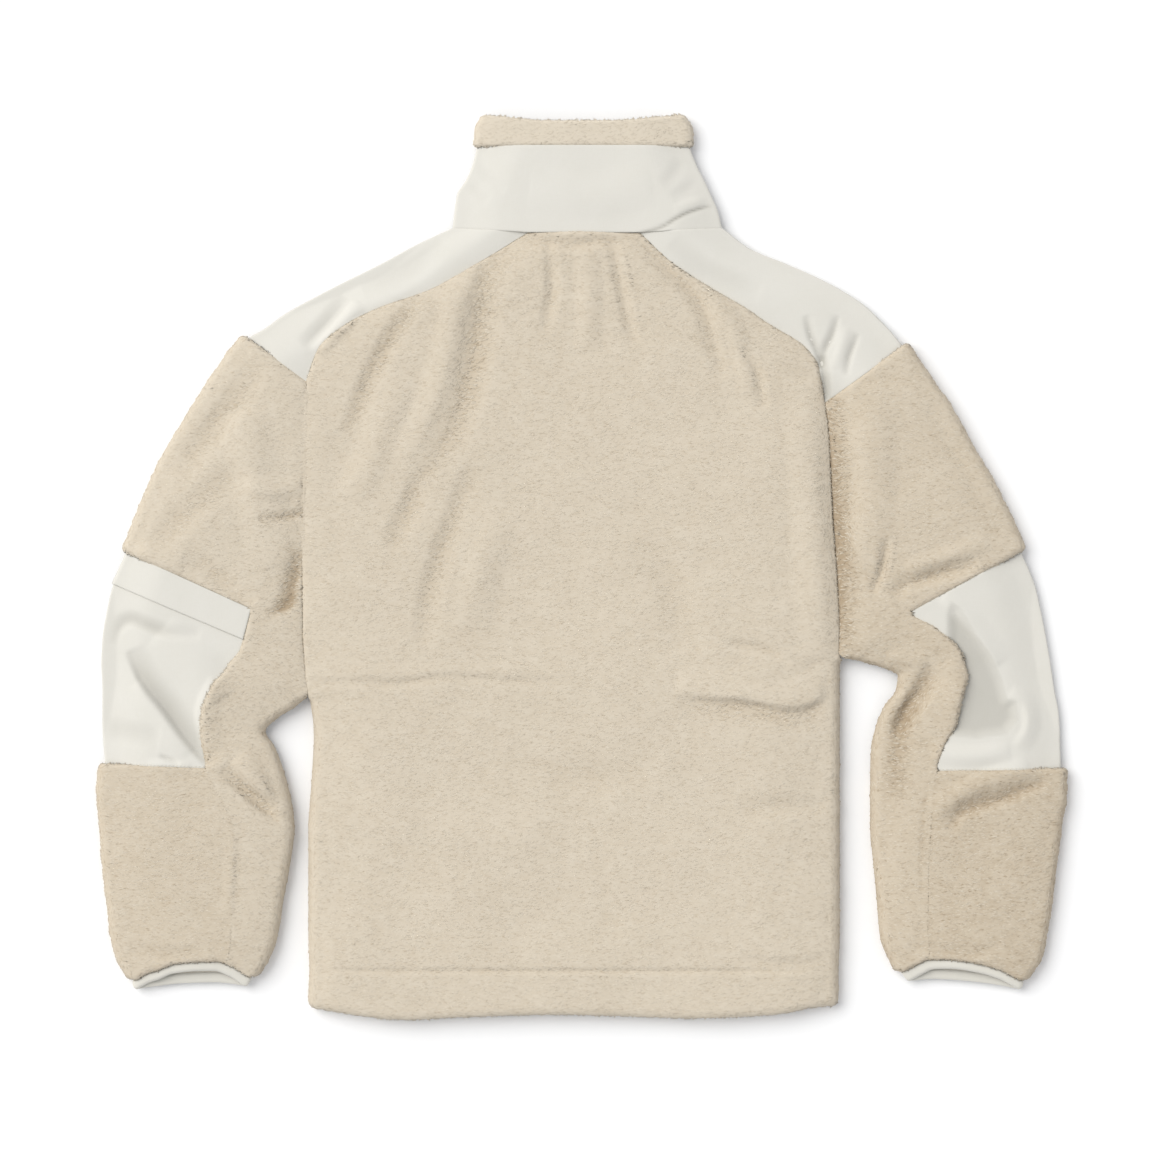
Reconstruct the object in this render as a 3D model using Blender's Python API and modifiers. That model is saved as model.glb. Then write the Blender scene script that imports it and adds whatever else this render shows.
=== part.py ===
"""Sherpa fleece pullover with woven yokes, elbows and collar, lying flat on its front.

Sizes are in millimetres: x runs across the chest, y from the hem (0) up to the collar, z up.
The garment is two layers of cloth. Each layer has a backing surface, and every cut piece is a
wall that stands outward from it, so deep fleece and thin woven cloth meet on one backing.
Left is the side of negative x.
"""

import math
from collections import namedtuple

import bmesh
import bpy
import numpy as np

MM = 0.001

# Cloth
FLEECE = 7.5  # backing and pile
COLLAR_FLEECE = 5.0
WOVEN = 1.5
BINDING = 3.0
POCKET_CLOTH = 1.2
SEAM_GAP = 0.3

# Layers
FOLD_RADIUS = 1.0  # of the backing, where one layer turns into the other
FRONT_LEVEL = FLEECE  # the front layer's backing: its fleece reaches down to z = 0
BACK_LEVEL = FRONT_LEVEL + 2 * FOLD_RADIUS
LEAST_LEVEL = FRONT_LEVEL + 0.5
CROWN = 1.9  # how far each piece pillows up between its seams
SHOULDER = 60.0  # width over which it does
FOLD_FADE = 25.0  # creases die out this near a folded edge
QUARTER = FOLD_RADIUS * math.pi / 2

# Neck, collar and zip
NECK_LEFT = (-107, 711)
NECK_RIGHT = (131, 711)
FRONT_NECK_Y = 690  # where the front neckline meets the yokes
FRONT_NECK_DROP = 44
NECK_DROP_END = 553  # the front rows are level again here
ZIP_X = 7
ZIP_SLOT = 4.0  # half width
ZIP_END = 493
ZIP_TOP = 743
ZIP_COIL = (7.4, 1.4)  # width and thickness
PULL_AXIS = (ZIP_X, 735.0, 2.55)

BACK, FRONT = "back", "front"

# The body's outline. fold is 1 where the side is folded and 0 where a sleeve or yoke joins on.
BodyRow = namedtuple("BodyRow", "y left right left_fold right_fold")
BODY_ROWS = [
    BodyRow(*row)
    for row in (
        (707, -41, 59, 0, 0),
        (680, -85, 88, 0, 0),
        (655, -130, 126, 0, 0),
        (639, -175, 154, 0, 0),
        (626, -202, 173, 0, 0),
        (603, -229, 209, 0, 0),
        (588, -236, 219, 0, 0),
        (572, -240, 222, 0, 0),
        (553, -241, 225, 0, 0),
        (529, -242, 228, 0, 0),
        (493, -242, 230, 0, 0),
        (448, -243, 232, 0, 0),
        (394, -244, 236, 0, 0),
        (347, -244, 238, 0, 0),
        (330, -243, 238, 0, 0),
        (316, -242, 239, 0, 1),
        (297, -240, 239, 0, 1),
        (284, -237, 239, 1, 1),
        (255, -234, 239, 1, 1),
        (215, -236, 239, 1, 1),
        (170, -239, 239, 1, 1),
        (120, -239, 239, 1, 1),
        (75, -239, 239, 1, 1),
        (43, -238, 238, 1, 1),
        (20, -239, 238, 1, 1),
        (2, -238, 238, 1, 1),
    )
]
HEM_LIFT = 7  # the hem's corners ride up by this

# Sections of each sleeve, from the collar to the cuff. The outer point is the core of the folded
# outer edge. The inner point is None where the section ends on the body's edge, and else the
# outline of the folded inner edge. seam is the share of the width at which the back seam runs,
# and arch is how far the section bows up at its middle.
SleeveRow = namedtuple("SleeveRow", "outer_x outer_y inner_x inner_y seam arch")
LEFT_SLEEVE = [
    SleeveRow(*row)
    for row in (
        (*NECK_LEFT, None, 707, 1, 0),
        (-139, 696, None, 680, 1, 0),
        (-172, 678, None, 655, 1, 0),
        (-206, 661, None, 639, 1, 0),
        (-233, 647, None, 626, 1, 0),
        (-261, 631, None, 603, 1, 0),
        (-277, 619, None, 588, 1, 0),
        (-292, 610, None, 572, 1, 0),  # yoke ends
        (-309, 589, None, 553, 1, 0),
        (-327, 563, None, 529, 1, 0),
        (-348, 529, None, 493, 0.993, 0),  # under sleeve starts
        (-369, 493, None, 448, 0.93, 0),
        (-385, 455, None, 394, 0.81, 0),
        (-400, 418, None, 347, 0.71, 0),  # elbow panel starts
        (-413, 390, None, 330, 0.70, 0),
        (-419, 365, None, 316, 0.68, 0),
        (-423, 340, None, 297, 0.61, 0),  # underarm
        (-424, 319, -248, 283, 0.59, 0),
        (-423, 295, -267, 270, 0.61, 0),
        (-423, 272, -278, 258, 0.64, 0),
        (-422, 248, -270, 244, 0.61, 0),
        (-420, 228, -262, 223, 0.60, 0),  # elbow panel ends
        (-422, 201, -255, 196, 0.66, 0),
        (-419, 171, -252, 171, 0.71, 0),
        (-417, 138, -256, 138, 0.72, 0),
        (-413, 106, -262, 106, 0.74, 2),
        (-409, 72, -268, 70, 0.76, 6),
        (-402, 50, -275, 52, 0.78, 10),
        (-394, 35, -284, 38, 0.80, 12),  # cuff seam
    )
]
LEFT_CUFF = (-393, 26, -288, 29, 0.80, 12)
RIGHT_SLEEVE = [
    SleeveRow(*row)
    for row in (
        (*NECK_RIGHT, None, 707, 1, 0),
        (157, 692, None, 680, 1, 0),
        (190, 678, None, 655, 1, 0),
        (217, 666, None, 639, 1, 0),
        (238, 655, None, 626, 1, 0),
        (259, 641, None, 603, 1, 0),
        (273, 628, None, 588, 1, 0),
        (284, 616, None, 572, 1, 0),
        (294, 603, None, 553, 1, 0),  # yoke ends
        (312, 577, None, 529, 1, 0),
        (332, 548, None, 493, 0.993, 0),  # under sleeve starts
        (352, 512, None, 448, 0.95, 0),
        (370, 481, None, 394, 0.84, 0),
        (386, 450, None, 347, 0.72, 0),
        (400, 419, None, 330, 0.61, 0),  # elbow panel and underarm
        (413, 390, 259, 321, 0.60, 0),
        (419, 365, 279, 315, 0.59, 0),
        (423, 345, 292, 308, 0.60, 0),
        (427, 322, 290, 295, 0.57, 0),
        (431, 295, 280, 281, 0.58, 0),
        (435, 272, 273, 265, 0.59, 0),
        (436, 247, 268, 243, 0.65, 0),
        (436, 224, 267, 222, 0.69, 0),  # elbow panel ends
        (435, 199, 267, 196, 0.71, 0),
        (431, 173, 267, 171, 0.71, 0),
        (427, 140, 270, 138, 0.73, 0),
        (423, 108, 273, 106, 0.74, 2),
        (418, 77, 276, 72, 0.75, 6),
        (413, 54, 283, 54, 0.77, 10),
        (401, 35, 288, 43, 0.79, 13),  # cuff seam
    )
]
RIGHT_CUFF = (400, 26, 294, 34, 0.79, 13)
# Index of the section at which each piece starts or ends
LEFT_AT = {"cap": 7, "under": 10, "elbow": 13, "forearm": 21, "cuff": 28}
RIGHT_AT = {"cap": 8, "under": 10, "elbow": 14, "forearm": 22, "cuff": 29}
UNDER_TIP = 0.002  # share of the width between cap and under sleeve where the latter starts
POCKET_ROWS = 3  # sections that the pocket band covers, the last one in part
POCKET_DEPTH = 0.45  # share of the last one

# The stand collar, from the neck seam to the top edge: fold cores, and how far the back's top
# dips in the middle.
CollarRow = namedtuple("CollarRow", "y left right dip")
COLLAR_ROWS = [
    CollarRow(*row)
    for row in (
        (711, -107, 131, 4),
        (727, -105, 127, 2),
        (741, -103, 121, 0),
        (754, -95, 115, 0),
        (768, -89, 108, 0),
        (785, -85, 102, 0),  # woven ends
        (799, -84, 101, 2),
        (812, -78, 95, 5),
    )
]
COLLAR_BAND_AT = 5

# Creases of the back layer: a ridge or, with a negative height, a trough along a bowed line.
Crease = namedtuple("Crease", "x0 y0 x1 y1 bow height width")
CREASES = [
    Crease(*row)
    for row in (
        (-49, 696, -143, 466, 14, -3.2, 26),  # back, from the left of the neck
        (-100, 640, -165, 480, 8, 3.0, 30),
        (-112, 448, -148, 331, 6, -2.4, 24),
        (-143, 642, -202, 529, 6, -2.4, 20),
        (59, 691, 133, 583, 10, -2.6, 16),
        (34, 696, 52, 610, 4, -2.0, 12),
        (-233, 301, -13, 302, 5, -2.4, 12),  # across the waist
        (86, 316, 236, 304, -4, 8.5, 20),
        (96, 292, 234, 282, -4, -3.0, 13),
        (212, 545, 224, 360, 0, 3.0, 18),  # beside the armholes
        (250, 560, 262, 390, -8, 5.0, 22),
        (-228, 540, -230, 330, 0, 3.0, 18),
        (-300, 530, -268, 400, 8, 4.5, 30),
        (-287, 446, -246, 450, 0, -3.0, 14),
        (-206, 646, -242, 606, 0, -2.4, 9),  # yokes
        (-193, 641, -230, 600, 0, 4.0, 11),
        (225, 628, 219, 590, 0, 4.5, 8),
        (249, 622, 236, 586, 0, 4.0, 8),
        (210, 628, 216, 592, 0, -2.2, 7),
        (238, 626, 227, 588, 0, -2.2, 6),
        (-413, 354, -345, 344, 4, -2.6, 10),  # left elbow and forearm
        (-397, 319, -329, 231, -6, -3.2, 15),
        (-372, 330, -330, 262, 6, 4.0, 24),
        (-316, 222, -258, 178, 4, -3.4, 12),
        (-312, 246, -262, 204, 5, 4.5, 16),
        (338, 345, 382, 250, -10, -3.4, 32),  # right elbow and forearm
        (340, 364, 402, 258, 16, 6.0, 15),
        (324, 308, 283, 250, -4, -3.4, 14),
        (300, 300, 272, 262, -2, 3.5, 12),
        (289, 377, 361, 408, 5, -3.0, 14),
        (338, 172, 424, 214, -4, -3.4, 12),
        (330, 192, 414, 232, -4, 3.5, 16),
    )
]

Colour = namedtuple("Colour", "name rgb roughness metallic")
SHERPA = Colour("sherpa_fleece", (0.72, 0.63, 0.50), 0.95, 0.0)
SHELL = Colour("woven_shell", (0.78, 0.75, 0.68), 0.75, 0.0)
TAPE = Colour("zip_coil", (0.70, 0.66, 0.58), 0.6, 0.0)
METAL = Colour("zip_metal", (0.62, 0.60, 0.56), 0.35, 1.0)


def level(share):
    """Shift of a section that stays straight."""
    return 0.0


class Section:
    """A line across the garment, seen from above, from edge a to edge b, on both layers."""

    def __init__(self, a, b, fold_a, fold_b, front_b=None, back_shift=level, front_shift=level):
        self.a = np.array(a, float)
        self.b = {BACK: np.array(b, float), FRONT: np.array(b if front_b is None else front_b)}
        self.fold = (fold_a, fold_b)
        self.shift = {BACK: back_shift, FRONT: front_shift}
        self.width = np.linalg.norm(self.b[BACK] - self.a)
        self.across = self.direction(BACK)

    def direction(self, side):
        across = self.b[side] - self.a
        return across / np.linalg.norm(across)

    def in_plan(self, side, share):
        x, y = self.a + (self.b[side] - self.a) * share
        return np.array([x, y + self.shift[side](share)])


def smooth(share):
    share = min(max(share, 0.0), 1.0)
    return share * share * (3 - 2 * share)


def crease_height(crease, x, y):
    """Height that one crease adds at a place: a soft ridge that tapers to both ends."""
    start = np.array([crease.x0, crease.y0], float)
    run = np.array([crease.x1, crease.y1], float) - start
    length = np.linalg.norm(run)
    run /= length
    offset = np.array([x, y]) - start
    share = offset @ run / length
    if not 0 < share < 1:
        return 0.0
    arch = math.sin(math.pi * share)
    aside = abs(run[0] * offset[1] - run[1] * offset[0] - crease.bow * arch)
    return crease.height * math.sqrt(arch) * smooth(1 - aside / crease.width)


def back_height(section, share, x, y):
    """Level of the back layer's backing: its crown between the edges and its creases."""
    fade = 1.0
    shoulder = 1.0
    for fold, distance in zip(section.fold, (share, 1 - share)):
        distance = max(distance, 0) * section.width
        fade *= 1 - fold * (1 - smooth(distance / FOLD_FADE))
        shoulder *= 1 - (1 - min(distance / SHOULDER, 1)) ** 2
    creases = sum(crease_height(crease, x, y) for crease in CREASES)
    return max(BACK_LEVEL + CROWN * shoulder + fade * creases, LEAST_LEVEL)


def backing(section, side, station):
    """Point on the backing and the direction in which cloth stands on it.

    A station of 0 to 1 runs from edge a to edge b. Past them it follows a quarter turn round the
    fold, which lies out flat where the edge is a seam.
    """
    share = min(max(station, 0), 1)
    x, y = section.in_plan(side, share)
    up = 1 if side == BACK else -1
    z = back_height(section, share, x, y) if side == BACK else FRONT_LEVEL
    past = station - share
    if past == 0:
        return np.array([x, y, z]), np.array([0, 0, up])
    outward = -section.across if past < 0 else section.direction(side)
    fold = section.fold[past > 0]
    angle = fold * abs(past) * math.pi / 2
    reach = QUARTER * abs(past) if not fold else FOLD_RADIUS * math.sin(angle)
    drop = FOLD_RADIUS * (1 - math.cos(angle))
    point = np.array([*(np.array([x, y]) + outward * reach), z - up * drop])
    return point, np.array([*(outward * math.sin(angle)), up * math.cos(angle)])


def drawn_in(grid):
    """The grid with its four borders moved in by half a seam gap, square to each border."""
    result = grid.copy()
    for axis in (0, 1):
        lines, moved = np.swapaxes(grid, 0, axis), np.swapaxes(result, 0, axis)
        for edge, inner in ((0, 1), (-1, -2)):
            along = np.gradient(lines[edge], axis=0)
            along /= np.linalg.norm(along, axis=1)[:, None]
            step = lines[inner] - lines[edge]
            square = step - (step * along).sum(axis=1)[:, None] * along
            moved[edge] += step * (SEAM_GAP / 2 / np.linalg.norm(square, axis=1))[:, None]
    return result


def material_of(colour):
    material = bpy.data.materials.get(colour.name)
    if material is None:
        material = bpy.data.materials.new(colour.name)
        material.use_nodes = True
        shader = material.node_tree.nodes["Principled BSDF"]
        shader.inputs["Base Color"].default_value = (*colour.rgb, 1)
        shader.inputs["Roughness"].default_value = colour.roughness
        shader.inputs["Metallic"].default_value = colour.metallic
    return material


def add_object(name, mesh, colour, collection, location=(0, 0, 0)):
    item = bpy.data.objects.new(name, mesh)
    mesh.materials.append(material_of(colour))
    item.location = [value * MM for value in location]
    collection.objects.link(item)
    return item


def add_wall(name, inner, outer, colour, collection, left_out=()):
    """A closed wall between two grids of points. left_out lists (row, column) cells cut away."""
    rows, columns = inner.shape[:2]
    cells = {(r, c) for r in range(rows - 1) for c in range(columns - 1)} - set(left_out)
    build = bmesh.new()
    points = np.concatenate([inner.reshape(-1, 3), outer.reshape(-1, 3)]) * MM
    vertices = [build.verts.new(point) for point in points]
    for r, c in cells:
        corners = [r * columns + c, r * columns + c + 1]
        corners += [corner + columns for corner in reversed(corners)]
        build.faces.new([vertices[corner] for corner in corners])
        build.faces.new([vertices[corner + rows * columns] for corner in reversed(corners)])
        beside = ((r - 1, c), (r, c + 1), (r + 1, c), (r, c - 1))
        for side, neighbour in enumerate(beside):
            if neighbour not in cells:
                ends = (corners[side], corners[(side + 1) % 4])
                rim = [ends[1], ends[0], ends[0] + rows * columns, ends[1] + rows * columns]
                build.faces.new([vertices[corner] for corner in rim])
    bmesh.ops.delete(build, geom=[v for v in build.verts if not v.link_faces], context="VERTS")
    if build.calc_volume(signed=True) < 0:
        bmesh.ops.reverse_faces(build, faces=build.faces)
    mesh = bpy.data.meshes.new(name)
    build.to_mesh(mesh)
    build.free()
    mesh.shade_smooth()
    return add_object(name, mesh, colour, collection)


def add_panel(name, sections, stations_of, depth, colour, collection, lift=0.0, left_out=()):
    """One cut piece: a wall of the given depth that stands on the backing of its sections."""
    inner, outer = [], []
    for section in sections:
        pairs = [backing(section, side, station) for side, station in stations_of(section)]
        inner.append([point + lift * direction for point, direction in pairs])
        outer.append([point + (lift + depth) * direction for point, direction in pairs])
    grids = drawn_in(np.array(inner)), drawn_in(np.array(outer))
    return add_wall(name, *grids, colour, collection, left_out)


def spread(start, end, steps):
    return [float(value) for value in np.linspace(start, end, steps + 1)]


def core(outline, fold, depth, inward):
    """Core of an edge whose visible outline is given: the backing turns round it, or ends."""
    return outline + inward * (fold * (FOLD_RADIUS + depth) + (1 - fold) * QUARTER)


# Body


def outline_at(y):
    ys = [row.y for row in reversed(BODY_ROWS)]
    return [
        float(np.interp(y, ys, [getattr(row, side) for row in reversed(BODY_ROWS)]))
        for side in ("left", "right")
    ]


def body_section(row, top=BODY_ROWS[0].y):
    """A body section at a row's height, or at top if the row is higher."""
    y = min(row.y, top)
    left, right = outline_at(y)
    drop = FRONT_NECK_DROP * max(y - NECK_DROP_END, 0) / (FRONT_NECK_Y - NECK_DROP_END)
    lift = HEM_LIFT if row is BODY_ROWS[-1] else 0

    def hem(share):
        return lift * abs(2 * share - 1) ** 6

    def neckline(share):
        return hem(share) - drop * (1 - abs(2 * share - 1) ** 2.2)

    return Section(
        (core(left, row.left_fold, FLEECE, 1), y),
        (core(right, row.right_fold, FLEECE, -1), y),
        row.left_fold,
        row.right_fold,
        back_shift=hem,
        front_shift=neckline,
    )


def back_stations(section):
    shares = spread(-1, 0, 2)[:-1] + spread(0, 1, 20) + spread(1, 2, 2)[1:]
    return [(BACK, share) for share in shares]


def front_shares(section):
    """Shares of the front's columns. Two of them are the edges of the zip's slot."""
    a, b = section.a[0], section.b[FRONT][0]
    slot = [(ZIP_X + side * ZIP_SLOT - a) / (b - a) for side in (-1, 1)]
    return spread(0, slot[0], 5) + spread(slot[1], 1, 5)


def front_stations(section):
    shares = spread(-1, 0, 2)[:-1] + front_shares(section) + spread(1, 2, 2)[1:]
    return [(FRONT, share) for share in shares]


def make_body(parts):
    back = [body_section(row) for row in BODY_ROWS]
    add_panel("back_body", back, back_stations, FLEECE, SHERPA, parts)
    front = [body_section(row, FRONT_NECK_Y) for row in BODY_ROWS]
    columns = [share for _, share in front_stations(front[0])]
    slot_column = columns.index(front_shares(front[0])[5])
    slot = [(r, slot_column) for r, row in enumerate(BODY_ROWS) if row.y > ZIP_END]
    add_panel("front_body", front, front_stations, FLEECE, SHERPA, parts, left_out=slot)
    return front[0]


# Sleeves


def sleeve_sections(rows, side):
    """Sections of one sleeve. side is 0 for the left sleeve and 1 for the right."""
    sections = []
    for row in rows:
        outer = np.array([row.outer_x, row.outer_y], float)
        on_body = row.inner_x is None
        fold = 0 if on_body else 1
        reach = FOLD_RADIUS + FLEECE if fold else QUARTER
        cores = []
        for inner_y in (row.inner_y, min(row.inner_y, FRONT_NECK_Y)):
            inner_x = outline_at(inner_y)[side] if on_body else row.inner_x
            inner = np.array([inner_x, inner_y], float)
            cores.append(inner + reach * (outer - inner) / np.linalg.norm(outer - inner))
        arch = row.arch
        section = Section(
            outer,
            cores[0],
            1,
            fold,
            front_b=cores[1],
            back_shift=lambda share, arch=arch: arch * 4 * share * (1 - share),
            front_shift=lambda share, arch=arch: -0.25 * arch * 4 * share * (1 - share),
        )
        section.seam = row.seam
        sections.append(section)
    return sections


def wrap_stations(section):
    """Round a sleeve from its back seam, over the outer edge and across the hidden front.

    Where there is no under sleeve, the seam is the body's edge, past a share of 1.
    """
    if section.seam == 1:
        top = [2.0, 1.5] + spread(1, 0, 8)
    else:
        top = spread(section.seam - UNDER_TIP, 0, 10)
    around = [(BACK, share) for share in top + [-0.5, -1.0]]
    around += [(FRONT, share) for share in [-0.5] + spread(0, 1, 6) + [1.5, 2.0]]
    return around


def under_stations(section):
    shares = spread(section.seam + UNDER_TIP, 1, 4) + [1.5, 2.0]
    return [(BACK, share) for share in shares]


def pocket_stations(section):
    shares = spread(section.seam - UNDER_TIP, 0, 8) + [-0.5, -1.0]
    return [(BACK, share) for share in shares]


def between(first, second, share):
    """The section part of the way from one to the next."""
    mix = Section(
        first.a + (second.a - first.a) * share,
        first.b[BACK] + (second.b[BACK] - first.b[BACK]) * share,
        *first.fold,
    )
    mix.seam = first.seam + (second.seam - first.seam) * share
    return mix


def make_sleeve(side, rows, cuff, at, parts):
    sections = sleeve_sections(rows, ("left", "right").index(side))
    pieces = (
        ("yoke", 0, at["cap"], WOVEN, SHELL),
        ("sleeve_cap", at["cap"], at["elbow"], FLEECE, SHERPA),
        ("elbow_panel", at["elbow"], at["forearm"], WOVEN, SHELL),
        ("forearm", at["forearm"], at["cuff"], FLEECE, SHERPA),
    )
    for name, start, end, depth, colour in pieces:
        part = sections[start : end + 1]
        add_panel(f"{name}_{side}", part, wrap_stations, depth, colour, parts)
    under = sections[at["under"] :]
    add_panel(f"under_sleeve_{side}", under, under_stations, FLEECE, SHERPA, parts)

    edge = sleeve_sections([rows[-1], SleeveRow(*cuff)], ("left", "right").index(side))
    around = [(BACK, share) for share in [1.9, 1.5] + spread(1, 0, 10) + [-0.5, -1.0]]
    around += [(FRONT, share) for share in [-0.5] + spread(0, 1, 8) + [1.5, 1.9]]
    name = f"cuff_binding_{side}"
    add_panel(name, edge, lambda section: around, BINDING, SHELL, parts)
    return sections


def make_pocket_band(sections, parts):
    first = LEFT_AT["elbow"]
    part = sections[first : first + POCKET_ROWS - 1]
    part.append(between(part[-1], sections[first + POCKET_ROWS - 1], POCKET_DEPTH))
    lift = WOVEN + SEAM_GAP
    add_panel("pocket_band", part, pocket_stations, POCKET_CLOTH, SHELL, parts, lift=lift)


# Collar


def collar_sections(front_top):
    """Sections of the collar. Its front edge follows the front piece's top section."""
    low = COLLAR_ROWS[0]
    reach = low.right - low.left
    dip_at = [0] + [(x - low.left) / reach for x in (BODY_ROWS[0].left, BODY_ROWS[0].right)] + [1]
    neckline = [backing(front_top, *station)[0] for station in front_stations(front_top)]
    drop_at = [0] + [(point[0] - low.left) / reach for point in neckline] + [1]
    drops = [0] + [low.y - point[1] for point in neckline] + [0]

    def make(row):
        def back_dip(share):
            return -row.dip * float(np.interp(share, dip_at, [0, 1, 1, 0]))

        def front_dip(share):
            return -float(np.interp(share, drop_at, drops))

        ends = (row.left, row.y), (row.right, row.y)
        return Section(*ends, 1, 1, back_shift=back_dip, front_shift=front_dip)

    half = len(drop_at) // 2
    return [make(row) for row in COLLAR_ROWS], dip_at, drop_at[:half], drop_at[half:]


def make_collar(front_top, parts):
    sections, dip_at, left_front, right_front = collar_sections(front_top)
    back = spread(0, dip_at[1], 4)[:-1] + spread(dip_at[1], dip_at[2], 6)
    back += spread(dip_at[2], 1, 4)[1:]

    def around(section):
        # The zip's slot keeps its width all the way up.
        a, b = section.a[0], section.b[FRONT][0]
        slot = [(ZIP_X + side * ZIP_SLOT - a) / (b - a) for side in (-1, 1)]
        left = [slot[0]] + left_front[-2::-1] + [-0.5]
        right = [1.5] + right_front[:0:-1] + [slot[1]]
        stations = [(FRONT, share) for share in left]
        stations += [(BACK, share) for share in [-1, -0.5] + back + [1.5, 2]]
        return stations + [(FRONT, share) for share in right]

    woven, band = sections[: COLLAR_BAND_AT + 1], sections[COLLAR_BAND_AT:]
    add_panel("collar", woven, around, WOVEN, SHELL, parts)
    add_panel("collar_band", band, around, COLLAR_FLEECE, SHERPA, parts)


# Zip


def box_mesh(name, low, high):
    """A box between two corners."""
    build = bmesh.new()
    bmesh.ops.create_cube(build, size=1)
    low, high = np.array(low) * MM, np.array(high) * MM
    for vertex in build.verts:
        vertex.co = (low + high) / 2 + np.array(vertex.co) * (high - low)
    mesh = bpy.data.meshes.new(name)
    build.to_mesh(mesh)
    build.free()
    return mesh


def combine(item, operation, other):
    modifier = item.modifiers.new(operation.lower(), "BOOLEAN")
    modifier.operation = operation
    modifier.object = other
    other.hide_render = True
    other.display_type = "WIRE"


def round_edges(item, width):
    bevel = item.modifiers.new("rounded", "BEVEL")
    bevel.width = width * MM
    bevel.segments = 2


def make_zip(parts, cutters):
    width, thickness = ZIP_COIL
    low = (ZIP_X - width / 2, ZIP_END + SEAM_GAP, FRONT_LEVEL - thickness)
    high = (ZIP_X + width / 2, ZIP_TOP, FRONT_LEVEL - 0.1)
    add_object("zip_coil", box_mesh("zip_coil", low, high), TAPE, parts)

    # Everything below is placed from the pull's axis, which runs along x.
    face = 0.85  # from the axis up to the slider's face
    top = FRONT_LEVEL - thickness - SEAM_GAP - PULL_AXIS[2]
    slider = box_mesh("zip_slider", (-3.5, -4.5, face), (3.5, 4.5, top))
    slider = add_object("zip_slider", slider, METAL, parts, PULL_AXIS)
    round_edges(slider, 0.5)
    bail = box_mesh("bail", (-0.7, -2.55, -1.55), (0.7, 2.55, face + 0.5))
    bail = add_object("bail", bail, METAL, cutters, PULL_AXIS)
    opening = box_mesh("bail_opening", (-2, -1.85, -0.85), (2, 1.85, face))
    opening = add_object("bail_opening", opening, METAL, cutters, PULL_AXIS)
    combine(bail, "DIFFERENCE", opening)
    combine(slider, "UNION", bail)

    pull = box_mesh("zip_pull", (-2.5, -24, -0.4), (2.5, 0.45, 0.4))
    pull = add_object("zip_pull", pull, METAL, parts, PULL_AXIS)
    round_edges(pull, 0.15)
    window = box_mesh("pull_window", (-1.4, -3.6, -2), (1.4, -0.4, 2))
    window = add_object("pull_window", window, METAL, cutters, PULL_AXIS)
    combine(pull, "DIFFERENCE", window)


def stand_on_origin(parts, cutters):
    """Parents all pieces to an empty placed so that the garment's footprint is centred."""
    places = [(item.location, vertex.co) for item in parts.objects for vertex in item.data.vertices]
    points = np.array([location + corner for location, corner in places])
    centre = (points.min(axis=0) + points.max(axis=0)) / 2
    root = bpy.data.objects.new("pullover_origin", None)
    root.location = (-centre[0], -centre[1], 0)
    parts.objects.link(root)
    for item in [*parts.objects, *cutters.objects]:
        if item is not root:
            item.parent = root


def main():
    for item in list(bpy.data.objects):
        bpy.data.objects.remove(item)
    parts = bpy.data.collections.new("sherpa_pullover")
    cutters = bpy.data.collections.new("cutters")
    for collection in (parts, cutters):
        bpy.context.scene.collection.children.link(collection)
    front_top = make_body(parts)
    left = make_sleeve("left", LEFT_SLEEVE, LEFT_CUFF, LEFT_AT, parts)
    make_sleeve("right", RIGHT_SLEEVE, RIGHT_CUFF, RIGHT_AT, parts)
    make_pocket_band(left, parts)
    make_collar(front_top, parts)
    make_zip(parts, cutters)
    stand_on_origin(parts, cutters)


main()
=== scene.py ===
"""Looks of the sherpa fleece pullover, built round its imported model.

Sizes are in millimetres in the garment's own frame: x runs across the chest, y from the hem (0)
up to the collar, z up. Meshes are moved into the model's frame, in metres, as they are made.
Left is the side of negative x. The pullover lies on its front, so its back is what shows.
"""

import math
from collections import namedtuple

import bpy
import numpy as np
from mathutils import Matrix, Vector, noise


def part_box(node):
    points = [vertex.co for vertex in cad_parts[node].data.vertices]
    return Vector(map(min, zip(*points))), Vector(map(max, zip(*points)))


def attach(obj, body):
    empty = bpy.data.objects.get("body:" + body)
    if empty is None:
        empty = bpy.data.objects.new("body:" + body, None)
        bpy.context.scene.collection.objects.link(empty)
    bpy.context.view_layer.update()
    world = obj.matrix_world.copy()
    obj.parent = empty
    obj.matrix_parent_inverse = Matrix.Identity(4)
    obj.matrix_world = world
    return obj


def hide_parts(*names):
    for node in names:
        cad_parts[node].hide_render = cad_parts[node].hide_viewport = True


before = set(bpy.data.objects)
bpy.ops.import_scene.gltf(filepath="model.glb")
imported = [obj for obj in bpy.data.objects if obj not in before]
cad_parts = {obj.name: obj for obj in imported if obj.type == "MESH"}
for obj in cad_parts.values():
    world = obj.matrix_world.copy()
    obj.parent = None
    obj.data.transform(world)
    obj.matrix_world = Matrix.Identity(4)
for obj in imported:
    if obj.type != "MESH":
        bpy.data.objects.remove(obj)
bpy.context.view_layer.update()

MM = 0.001
BACK, FRONT = 0, 1  # layers
LEFT, RIGHT = 1, 2  # sides, and their columns in BODY_ROWS

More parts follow.
